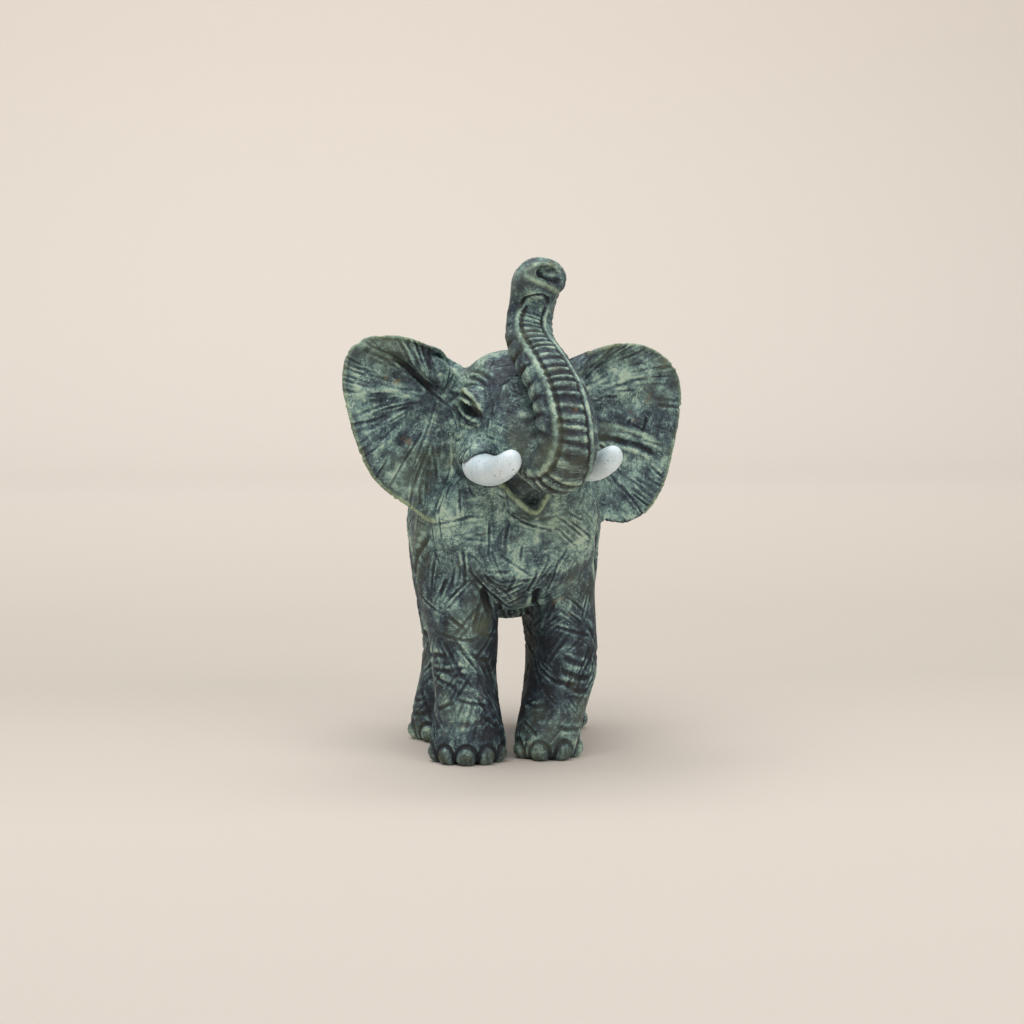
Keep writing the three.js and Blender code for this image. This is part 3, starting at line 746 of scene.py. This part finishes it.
# Folds round the legs, each with painted shade in it.
for line in LEG_LINES:
    for level in FOLD_LEVELS:
        for _ in range(FOLDS_A_LEVEL):
            fold = around_leg(line, level=level + dice.uniform(-0.8, 0.8),
                              middle=dice.uniform(-math.pi, math.pi),
                              half_span=dice.uniform(0.35, 0.8),
                              tilt=dice.uniform(-1.6, 1.6), sag=dice.uniform(0, 0.9))
            crease(fold, dice.uniform(0.6, 1.0), dice.uniform(0.2, 0.45),
                   raised=0.15, shade=0.35)


def body_line(corners):
    """Corners in the figure's units as millimetres."""
    return [np.array(corner) * UNIT + SHIFT for corner in corners]


# Creases with painted shade in them: where the front legs join the chest, arcs on the front left
# knee, and at the shoulders, flanks and hips.
for corners, wide, deep in (
        ([(-6.4, -28.6, 36), (-6.1, -28.1, 33.6), (-5.5, -27.7, 31.5), (-4.8, -27, 29)], 1.5, 1.3),
        ([(4.4, -28.4, 36), (4, -27.7, 33.4), (4.2, -25.6, 31.4), (4.6, -23, 29.5)], 1.5, 1.3),
        ([(9.2, -26, 20.9), (12.1, -26.3, 19.5), (14.9, -25.3, 18.7)], 1, 0.3),
        ([(8.8, -25.9, 18.3), (12.1, -26.3, 16.7), (15.4, -24.2, 16)], 1, 0.3),
        ([(9.6, -26.2, 15.6), (12.6, -25.8, 13.9), (15.5, -23.3, 13.4)], 1, 0.3),
        ([(-15.5, -26, 46), (-16.6, -22, 40), (-16, -20, 33)], 1.6, 0.7),
        ([(15.5, -26, 46), (16.6, -22, 40), (16, -19, 33)], 1.6, 0.7),
        ([(-17, -8, 36), (-15, -4, 31), (-14, 0, 29)], 1.8, 0.8),
        ([(17, -8, 36), (16, -2, 31), (15, 4, 29)], 1.8, 0.8),
        ([(-16, 4, 50), (-17, 0, 44), (-16, -1, 37)], 1.6, 0.6),
        ([(16, 6, 50), (17, 3, 44), (17, 2, 37)], 1.6, 0.6)):
    crease(body_line(corners), wide, deep, raised=0.25, shade=0.6)
# Painted shade in a crease on each side of the tail.
TAIL_LINE = [(0.4, 20.2, 53), (1.2, 21.8, 47), (1.8, 20.8, 40), (2.2, 18.6, 34), (2.4, 17.2, 29)]
for aside in (-2.2, 2.2):
    beside_tail = [(left + aside, back, up) for left, back, up in TAIL_LINE]
    crease(body_line(beside_tail), 1.4, 0.8, tip=0.1, shade=0.9)
print("Folds carved")

# %% [markdown]
# ## Tool marks
# The whole skin is covered in short gouges, pressed in groups that lie the
# same way: out from the root on the ears, slanting on the legs and mixed on
# the body. Each gouge pushes up a small burr at both sides, and that burr is
# what the light paint catches. The dice are seeded, so it is always the same.

# %% How the marks lie
GOUGES = 2300
PATCHES = 900
TRUNK_FRONT = 1.0
MARK_LIMIT = 0.6


def flow_at(index):
    """The way the marks lie at a point, and how much they stray from it."""
    if masks["ear_right"][index] or masks["ear_left"][index]:
        side = -1 if masks["ear_right"][index] else 1
        root = head_to_mm(-13.5, -5, 71.5) if side < 0 else head_to_mm(12, -5, 70.6)
        return points[index] - root, 0.2
    if masks["trunk"][index]:
        return np.cross(normals[index], UP) + 0.2 * UP, 0.6
    if masks["head"][index]:
        eye = head_to_mm(math.copysign(11, head[index, 0]), 3, EYE_LEVEL)
        away = points[index] - eye
        if np.linalg.norm(away) < 11:
            return np.cross(normals[index], away), 0.35
        return away + 0.5 * UP, 0.7
    if masks["tail"][index]:
        return UP, 0.15
    if masks["foot"][index]:
        return UP, 0.4
    if masks["leg"][index]:
        slant = 1 if math.sin(points[index, 2] * 0.21 + points[index, 0] * 0.3) > 0 else -1
        return UP + slant * 0.75 * np.cross(normals[index], UP), 0.4
    return UP + 0.4 * np.cross(normals[index], UP), 1.2


# Shortest, longest, least and most half width, and depth, in millimetres
SIZES = {
    "ear_right": (6, 16, 0.45, 0.65, 0.3), "ear_left": (6, 16, 0.45, 0.65, 0.3),
    "trunk": (2, 5, 0.45, 0.6, 0.15), "head": (3, 8, 0.42, 0.6, 0.24),
    "tail": (4, 8, 0.4, 0.6, 0.25), "foot": (2.5, 5, 0.45, 0.7, 0.22),
    "leg": (5, 13, 0.45, 0.75, 0.42), "body": (4, 13, 0.45, 0.7, 0.36),
}
region_of = np.empty(point_count, dtype=object)
for name in SIZES:
    region_of[masks[name]] = name
patch_seeds = dice.choice(point_count, PATCHES, replace=False)
patch_tree = build_tree(points[patch_seeds])
patch_turn = dice.uniform(-1, 1, PATCHES)
marks = np.zeros(point_count)


def gouge(index, way, length, half_width, depth, bend):
    """Press one short groove with a burr along both of its sides."""
    normal = normals[index]
    way = way - normal * (way @ normal)
    way /= max(np.linalg.norm(way), 1e-6)
    across = np.cross(normal, way)
    near = skin_tree.find_range(points[index], length * 0.5 + half_width)
    ids = np.fromiter((item[1] for item in near), dtype=np.int64, count=len(near))
    away = points[ids] - points[index]
    along = away @ way / (length * 0.5)
    side = np.abs(away @ across - bend * along * along)
    taper = np.clip(1 - along * along, 0, 1) ** 0.6
    taper *= smooth_step(normals[ids] @ normal, 0.1, 0.5)
    marks[ids] -= depth * bump(side, 0, half_width) * taper
    marks[ids] += 0.5 * depth * bump(side, half_width * 1.35, half_width * 0.65) * taper


pressed = 0
for index in dice.choice(point_count, GOUGES, replace=False):
    name = region_of[index]
    on_bars = name == "trunk" and abs(trunk_angle[index]) < TRUNK_FRONT
    if name is None or tint["eye"][index] > 0 or on_bars:
        continue
    shortest, longest, narrowest, widest, deepest = SIZES[name]
    way, stray = flow_at(index)
    patch = patch_tree.find(points[index])[1]
    turn = stray * (patch_turn[patch] + 0.25 * dice.uniform(-1, 1))
    way = way * math.cos(turn) + np.cross(normals[index], way) * math.sin(turn)
    gouge(index, way, dice.uniform(shortest, longest), dice.uniform(narrowest, widest),
          deepest * (0.25 + dice.uniform(0, 1) ** 2), dice.uniform(-0.3, 0.3))
    pressed += 1
marks = MARK_LIMIT * np.tanh(marks / MARK_LIMIT)
marks[tint["eye"] > 0.2] = 0
height += marks
# Darker towards the feet, through the shade tint.
tint["shade"] += 0.42 * (1 - smooth_step(points[:, 2], 25, 66))
# Painted shade on the inner sides of the legs and under the belly.
between_legs = masks["leg"] & (normals[:, 0] * np.sign(units[:, 0]) < -0.3)
tint["shade"][between_legs] += 0.6
tint["shade"][masks["body"] & (normals[:, 2] < -0.4)] += 0.6
# Painted light: a paler face, ears and upper front of the chest, where the light falls most.
chest_front = masks["body"] & (normals[:, 1] < -0.4)
chest_painted_light = 0.95 * smooth_step(points[:, 2], 40, 66)
tint["painted_light"][masks["head"]] = 0.8
tint["painted_light"][masks["ear_right"]] = 0.4
tint["painted_light"][masks["ear_left"] & (head[:, 2] < 62)] = 0.9
tint["painted_light"][chest_front] = chest_painted_light[chest_front]
tint["painted_light"] = relax(tint["painted_light"], 0.6, 20)
print("Pressed", pressed, "gouges at", GOUGES, "drawn places")

# %% [markdown]
# The painter wipes light paint over the high spots. So each point keeps how
# far it stands above the skin close around it, as the attribute relief. How
# that skin stands to a wider stretch is a second attribute, for painted shade
# in wide hollows and painted light on broad rises.

# %% Relief for the paint
RELIEF_FULL = 0.26
HOLLOW_SHADE_FULL = 0.5
CLOSE_ROUNDS = 14
WIDE_ROUNDS = 90

close_skin = relax(height, 0.6, CLOSE_ROUNDS)
wide_skin = relax(height, 0.6, WIDE_ROUNDS)
relief = np.clip((height - close_skin) / RELIEF_FULL, -1, 1)
deep = np.clip((close_skin - wide_skin) / HOLLOW_SHADE_FULL, -1, 1)
attributes = {"relief": relief, "hollow_shade": deep}
attributes.update({name: np.clip(values, 0, 1) for name, values in tint.items()})
print("Attributes for the paint:", ", ".join(attributes))

# %% [markdown]
# ## Fewer triangles
# The clay skin is even, so it spends points where nothing happens. Decimate
# keeps them where the surface bends, and brings the piece under the limit.
# The kept points then read their paint attributes from the nearest clay point.

# %% Thin out the skin
CASTING_TRIANGLES = 192000

carved = points + normals * height[:, None]
lowest, highest = np.array(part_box("elephant")) / MM
carved = np.clip(carved, lowest, highest)
write_points(casting, carved)
carved_tree = build_tree(carved)
triangles_now = 2 * len(casting.data.polygons)
apply_modifier(casting, "DECIMATE", ratio=min(1, CASTING_TRIANGLES / triangles_now))
bpy.ops.object.shade_smooth()
casting.vertex_groups.clear()
kept = read_points(casting)
nearest = np.array([carved_tree.find(spot)[1] for spot in kept])
for name, values in attributes.items():
    layer = casting.data.attributes.new(name, "FLOAT", "POINT")
    layer.data.foreach_set("value", values[nearest].astype(np.float32))
print("Finished casting:", len(casting.data.polygons), "triangles")

# %% [markdown]
# ## Materials
# One function turns the hex colours to linear, one adds a node, and one turns
# a real size in millimetres into the scale of a pattern. Thin washes repeat on
# all three materials, so they have a function too.

# %% Material helpers


def linear(code):
    """An sRGB hex colour as linear red, green, blue and alpha."""
    parts = [int(code[index:index + 2], 16) / 255 for index in (1, 3, 5)]
    return [part / 12.92 if part <= 0.04045 else ((part + 0.055) / 1.055) ** 2.4
            for part in parts] + [1.0]


def per_mm(size):
    """The scale of a pattern whose features are this many millimetres."""
    return 1 / (size * MM)


def add_node(tree, kind, inputs=None, stops=None, **settings):
    """Add a node, set it up, and link or fill its inputs."""
    made = tree.nodes.new(kind)
    for name, value in settings.items():
        setattr(made, name, value)
    for socket, value in (inputs or {}).items():
        if isinstance(value, bpy.types.NodeSocket):
            tree.links.new(value, made.inputs[socket])
        else:
            made.inputs[socket].default_value = value
    for index, (stop_place, colour) in enumerate(stops or []):
        ramp = made.color_ramp
        stop = ramp.elements[index] if index < 2 else ramp.elements.new(stop_place)
        stop.position = stop_place
        stop.color = linear(colour)
    return made


def new_material(name):
    """An empty node material with its shader, output and object coordinates."""
    material = bpy.data.materials.new(name)
    material.use_nodes = True
    tree = material.node_tree
    tree.nodes.clear()
    shader = add_node(tree, "ShaderNodeBsdfPrincipled")
    add_node(tree, "ShaderNodeOutputMaterial", {"Surface": shader.outputs["BSDF"]})
    place = add_node(tree, "ShaderNodeTexCoord").outputs["Object"]
    return material, tree, shader, place


def lay_washes(tree, under, washes):
    """Mix thin washes over a colour: each has a place, its range, most and hex."""
    for value, low, high, most, colour in washes:
        amount = add_node(tree, "ShaderNodeMapRange", {
            "Value": value, "From Min": low, "From Max": high, "To Max": most})
        under = add_node(tree, "ShaderNodeMix", {
            "Factor": amount.outputs["Result"], 6: under, 7: linear(colour)},
            data_type="RGBA").outputs[2]
    return under


print("A pattern of 1 mm has a scale of", round(per_mm(1)))

# %% [markdown]
# ### Dry-brushed paint on cast resin
# The casting is polyurethane resin with a coat of dark slate acrylic. A nearly
# dry brush then wiped grey-green and pale verdigris over it, so the light
# paint sits on the burrs and rims and the dark stays in the grooves. The eye
# has a gloss black coat. Resin paint has an IOR of about 1.5 and a low sheen.

# %% Paint: scratches and brush strokes
paint, tree, shader, place = new_material("dry_brushed_resin_paint")


def strokes(group_mm, width_mm, length_mm):
    """Long thin strokes in groups: each group is a cell with a way of its own."""
    wobble = add_node(tree, "ShaderNodeTexNoise", {
        "Vector": place, "Scale": per_mm(group_mm * 0.5), "Detail": 2.0})
    pushed = add_node(tree, "ShaderNodeVectorMath", {
        0: wobble.outputs["Color"], 1: (group_mm * MM * 0.6,) * 3}, operation="MULTIPLY")
    moved = add_node(tree, "ShaderNodeVectorMath", {
        0: place, 1: pushed.outputs[0]}, operation="ADD")
    cells = add_node(tree, "ShaderNodeTexVoronoi", {
        "Vector": moved.outputs[0], "Scale": per_mm(group_mm)})
    turns = add_node(tree, "ShaderNodeVectorMath", {
        0: cells.outputs["Color"], 1: (2 * math.pi,) * 3}, operation="MULTIPLY")
    turned = add_node(tree, "ShaderNodeVectorRotate", {
        "Vector": place, "Rotation": turns.outputs[0]}, rotation_type="EULER_XYZ")
    stretched = add_node(tree, "ShaderNodeVectorMath", {
        0: turned.outputs[0], 1: (per_mm(width_mm), per_mm(length_mm), per_mm(length_mm))},
        operation="MULTIPLY")
    lines = add_node(tree, "ShaderNodeTexNoise", {
        "Vector": stretched.outputs[0], "Scale": 1.0, "Detail": 2.0, "Roughness": 0.6})
    return lines.outputs["Fac"]


brush = strokes(group_mm=7.0, width_mm=0.9, length_mm=4.0)
scratch = strokes(group_mm=4.5, width_mm=0.4, length_mm=3.6)
print("Nodes for strokes:", len(tree.nodes))

# %% [markdown]
# The light paint is a sum. It starts at a middle tone, and each row below adds
# or takes some: the carved relief first, then large patches where the brush
# was fuller, smaller mottles, strokes, light and dark scratches, and powdery
# specks in clusters. The photo's finest specks are about one of its pixels,
# 0.3 mm. They are drawn at 0.45 mm, because finer ones would only be noise.

# %% Paint: how light each spot is
MIDDLE_TONE = 0.475

relief_value, hollow_shade_value, rim_value, shade_value, painted_light_value, warm_value, eye_value = [
    add_node(tree, "ShaderNodeAttribute", attribute_name=name).outputs["Fac"]
    for name in ("relief", "hollow_shade", "rim", "shade", "painted_light", "warm", "eye")]
patches, mottle, powder_place, powder, grain = [
    add_node(tree, "ShaderNodeTexNoise", {
        "Vector": place, "Scale": per_mm(size), "Detail": detail, "Roughness": 0.62}).outputs["Fac"]
    for size, detail in ((13, 4.0), (3.4, 3.0), (6, 3.0), (0.45, 2.0), (0.8, 3.0))]
powder_here = add_node(tree, "ShaderNodeMapRange", {
    "Value": powder_place, "From Min": 0.46, "From Max": 0.62, "To Min": 0.25}).outputs["Result"]
specks = add_node(tree, "ShaderNodeMapRange", {
    "Value": powder, "From Min": 0.52, "From Max": 0.7}).outputs["Result"]
clusters = add_node(tree, "ShaderNodeMath", {
    0: powder_here, 1: specks}, operation="MULTIPLY").outputs[0]
light = MIDDLE_TONE
for value, low, high, least, most in (
        # The second row is painted shade in wide hollows and painted light on broad rises.
        (relief_value, -1, 1, -0.36, 0.34), (hollow_shade_value, -1, 1, -0.12, 0.12),
        (patches, 0.25, 0.75, -0.36, 0.36), (mottle, 0.25, 0.75, -0.32, 0.32),
        (brush, 0.3, 0.7, -0.1, 0.1), (scratch, 0.6, 0.72, 0, 0.26),
        (scratch, 0.28, 0.4, -0.24, 0), (clusters, 0, 1, 0, 0.46),
        # The last two rows are painted shade and painted light.
        (grain, 0.3, 0.7, -0.1, 0.1), (shade_value, 0, 1, 0, -0.36),
        (painted_light_value, 0, 1, 0, 0.16)):
    part = add_node(tree, "ShaderNodeMapRange", {
        "Value": value, "From Min": low, "From Max": high, "To Min": least, "To Max": most})
    light = add_node(tree, "ShaderNodeMath", {
        0: light, 1: part.outputs["Result"]}, operation="ADD").outputs[0]
layers = add_node(tree, "ShaderNodeValToRGB", {"Fac": light}, stops=[
    (0.0, "#0d141a"), (1.0, "#b6c9b2"), (0.2, "#1e2a35"), (0.4, "#364750"),
    (0.58, "#566b6b"), (0.76, "#7c9b93")]).outputs["Color"]
print("Nodes with the light paint:", len(tree.nodes))

# %% [markdown]
# Over that lie thin washes: a warm brown on the trunk, a moss green over wide
# patches, worn pale green on the rims, a few rust spots and the black eye.

# %% Paint: washes, rims, rust spots and the eye
green_wash, spots = [
    add_node(tree, "ShaderNodeTexNoise", {
        "Vector": place, "Scale": per_mm(size), "Detail": 3.0, "Roughness": 0.6}).outputs["Fac"]
    for size in (22, 5)]
worn = add_node(tree, "ShaderNodeMapRange", {
    "Value": grain, "From Min": 0.35, "From Max": 0.6,
    "To Min": 0.2, "To Max": 0.85}).outputs["Result"]
rim_paint = add_node(tree, "ShaderNodeMath", {
    0: rim_value, 1: worn}, operation="MULTIPLY").outputs[0]
layers = lay_washes(tree, layers, (
    (warm_value, 0, 1, 0.25, "#6f6a5b"), (green_wash, 0.5, 0.75, 0.4, "#7f8c6c"),
    (rim_paint, 0, 1, 0.9, "#a9ba88"), (spots, 0.66, 0.8, 0.6, "#8c6a35"),
    (eye_value, 0, 1, 1, "#07080a")))
tree.links.new(layers, shader.inputs["Base Color"])
print("Nodes with the washes:", len(tree.nodes))

# %% [markdown]
# The paint is nearly matt, a little smoother where it is thick, and the eye is
# glossy. A bump of 0.6 mm gives the strokes, scratches and grain that are too
# fine for the mesh.

# %% Paint: sheen and touch
RESIN_IOR = 1.5
TOUCH_DEPTH = 0.6
RIPPLE_DEPTH = 0.5

sheen = add_node(tree, "ShaderNodeMapRange", {
    "Value": light, "To Min": 0.62, "To Max": 0.5}).outputs["Result"]
sheen = add_node(tree, "ShaderNodeMix", {0: eye_value, 2: sheen, 3: 0.1}).outputs[0]
tree.links.new(sheen, shader.inputs["Roughness"])
shader.inputs["IOR"].default_value = RESIN_IOR
touch = 0.0
for value, share in ((brush, 0.45), (scratch, 0.8), (grain, 0.35), (mottle, 0.5)):
    part = add_node(tree, "ShaderNodeMath", {
        0: value, 1: share, 2: touch}, operation="MULTIPLY_ADD")
    touch = part.outputs[0]
touch = add_node(tree, "ShaderNodeMix", {0: eye_value, 2: touch, 3: 0.5}).outputs[0]
raised = add_node(tree, "ShaderNodeBump", {
    "Height": touch, "Strength": 0.6, "Distance": TOUCH_DEPTH * MM})
tree.links.new(raised.outputs["Normal"], shader.inputs["Normal"])
casting.data.materials.append(paint)
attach(casting, "root")
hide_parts("elephant")
print("Painted the casting")

# %% [markdown]
# ## The tusks
# Each tusk is a piece of its own: a smooth white rod of cast resin, painted
# cool white and pressed into its socket. A voxel remesh and a smooth take the
# facets of the CAD tusk away. The paint has soft grey clouds, a grey-brown
# bloom, a few dark specks of dirt and a satin sheen.

# %% Tusks
TUSK_VOXEL = 0.35
TUSK_ROUNDS = 30

enamel, tree, shader, place = new_material("white_tusk_paint")
clouds, dirt, dust = [
    add_node(tree, "ShaderNodeTexNoise", {
        "Vector": place, "Scale": per_mm(size), "Detail": 3.0, "Roughness": 0.6}).outputs["Fac"]
    for size in (6, 0.9, 0.4)]
white = add_node(tree, "ShaderNodeValToRGB", {"Fac": clouds}, stops=[
    (0.3, "#d2e5ea"), (0.65, "#ecf9ff")]).outputs["Color"]
white = lay_washes(tree, white, (
    (dust, 0.5, 0.75, 0.25, "#a9b5b2"), (dirt, 0.64, 0.7, 0.8, "#4c4437")))
tree.links.new(white, shader.inputs["Base Color"])
polish = add_node(tree, "ShaderNodeMapRange", {"Value": clouds, "To Min": 0.22, "To Max": 0.42})
tree.links.new(polish.outputs["Result"], shader.inputs["Roughness"])
shader.inputs["IOR"].default_value = RESIN_IOR
ripple = add_node(tree, "ShaderNodeBump", {
    "Height": clouds, "Strength": 0.25, "Distance": RIPPLE_DEPTH * MM})
tree.links.new(ripple.outputs["Normal"], shader.inputs["Normal"])
for side in ("right", "left"):
    tusk = copy_of_node("tusk_" + side, "white_tusk_" + side)
    apply_modifier(tusk, "REMESH", mode="VOXEL", voxel_size=TUSK_VOXEL * MM)
    apply_modifier(tusk, "SMOOTH", factor=0.5, iterations=TUSK_ROUNDS)
    bpy.ops.object.shade_smooth()
    tusk.data.materials.append(enamel)
    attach(tusk, "root")
    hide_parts("tusk_" + side)
    print("Finished", tusk.name, "with", len(tusk.data.polygons), "faces")

# %% [markdown]
# ## The studio
# The figure stands on a wide sheet of pale matt card, which sweeps up far
# behind it, so that nothing hides it from the back. The photo has a soft shade
# behind the feet, where its own card bends. Here that shade is painted: a
# colour ramp along the sheet, with the fine grain of paper in it.

# %% Stage
SWEEP_START = 900.0
SWEEP_RADIUS = 300.0
STAGE_HALF = 1500.0
SHADE_FRONT = -200.0
SHADE_BACK = 800.0
PAPER_GRAIN = 1.2

deselect_all()
bpy.ops.mesh.primitive_grid_add(x_subdivisions=2, y_subdivisions=96, size=2 * STAGE_HALF * MM)
stage = bpy.context.object
stage.name = "studio_sweep"
sheet = read_points(stage)
run = sheet[:, 1] - SWEEP_START
turn = np.clip(run / SWEEP_RADIUS, 0, math.pi / 2)
above = np.maximum(run - SWEEP_RADIUS * math.pi / 2, 0)
bent = run > 0
sheet[bent, 1] = SWEEP_START + SWEEP_RADIUS * np.sin(turn[bent])
sheet[bent, 2] = SWEEP_RADIUS * (1 - np.cos(turn[bent])) + above[bent]
write_points(stage, sheet)
bpy.ops.object.shade_smooth()
card, tree, shader, place = new_material("pale_matt_card")
depth = add_node(tree, "ShaderNodeSeparateXYZ", {"Vector": place}).outputs["Y"]
along = add_node(tree, "ShaderNodeMapRange", {
    "Value": depth, "From Min": SHADE_FRONT * MM,
    "From Max": SHADE_BACK * MM}).outputs["Result"]
fibres = add_node(tree, "ShaderNodeTexNoise", {
    "Vector": place, "Scale": per_mm(PAPER_GRAIN), "Detail": 4.0}).outputs["Fac"]
sheet_colour = add_node(tree, "ShaderNodeValToRGB", {"Fac": along}, stops=[
    (0.1, "#d7cdc2"), (1.0, "#ded5cb"), (0.25, "#cdc3b8"), (0.33, "#c6bdb2"),
    (0.5, "#c8bfb4"), (0.65, "#cfc5ba"), (0.9, "#dbd1c6")]).outputs["Color"]
sheet_colour = lay_washes(tree, sheet_colour, ((fibres, 0.3, 0.7, 0.06, "#b8aea4"),))
tree.links.new(sheet_colour, shader.inputs["Base Color"])
shader.inputs["Roughness"].default_value = 0.9
stage.data.materials.append(card)
print("Stage ready")

# %% [markdown]
# ## Light
# Two large soft boxes give the gentle shade of the photo: a key from high on
# the left and a weak fill from the right. A third box lights only the far card,
# and a pale sky fills the rest. Large boxes are chosen because no shadow in the
# photo has a hard edge.

# %% Lights
SKY_STRENGTH = 0.41


def soft_light(name, place, aim, size, power):
    """A square soft box at a place in millimetres that faces a point."""
    data = bpy.data.lights.new(name, "AREA")
    data.size = size * MM
    data.energy = power
    lamp = bpy.data.objects.new(name, data)
    lamp.location = Vector(place) * MM
    facing = Vector(aim) - Vector(place)
    lamp.rotation_euler = facing.to_track_quat("-Z", "Y").to_euler()
    bpy.context.scene.collection.objects.link(lamp)


soft_light("key", (-220, -450, 1000), (0, 0, 90), 800, 5.6)
soft_light("fill", (600, -800, 500), (0, 0, 70), 700, 2.6)
soft_light("card_light", (0, 350, 1100), (0, 1200, 100), 900, 8.8)
world = bpy.data.worlds.new("studio")
world.use_nodes = True
world.node_tree.nodes["Background"].inputs["Color"].default_value = linear("#ffffff")
world.node_tree.nodes["Background"].inputs["Strength"].default_value = SKY_STRENGTH
bpy.context.scene.world = world
bpy.context.scene.view_settings.view_transform = "Standard"
print("Lights set")
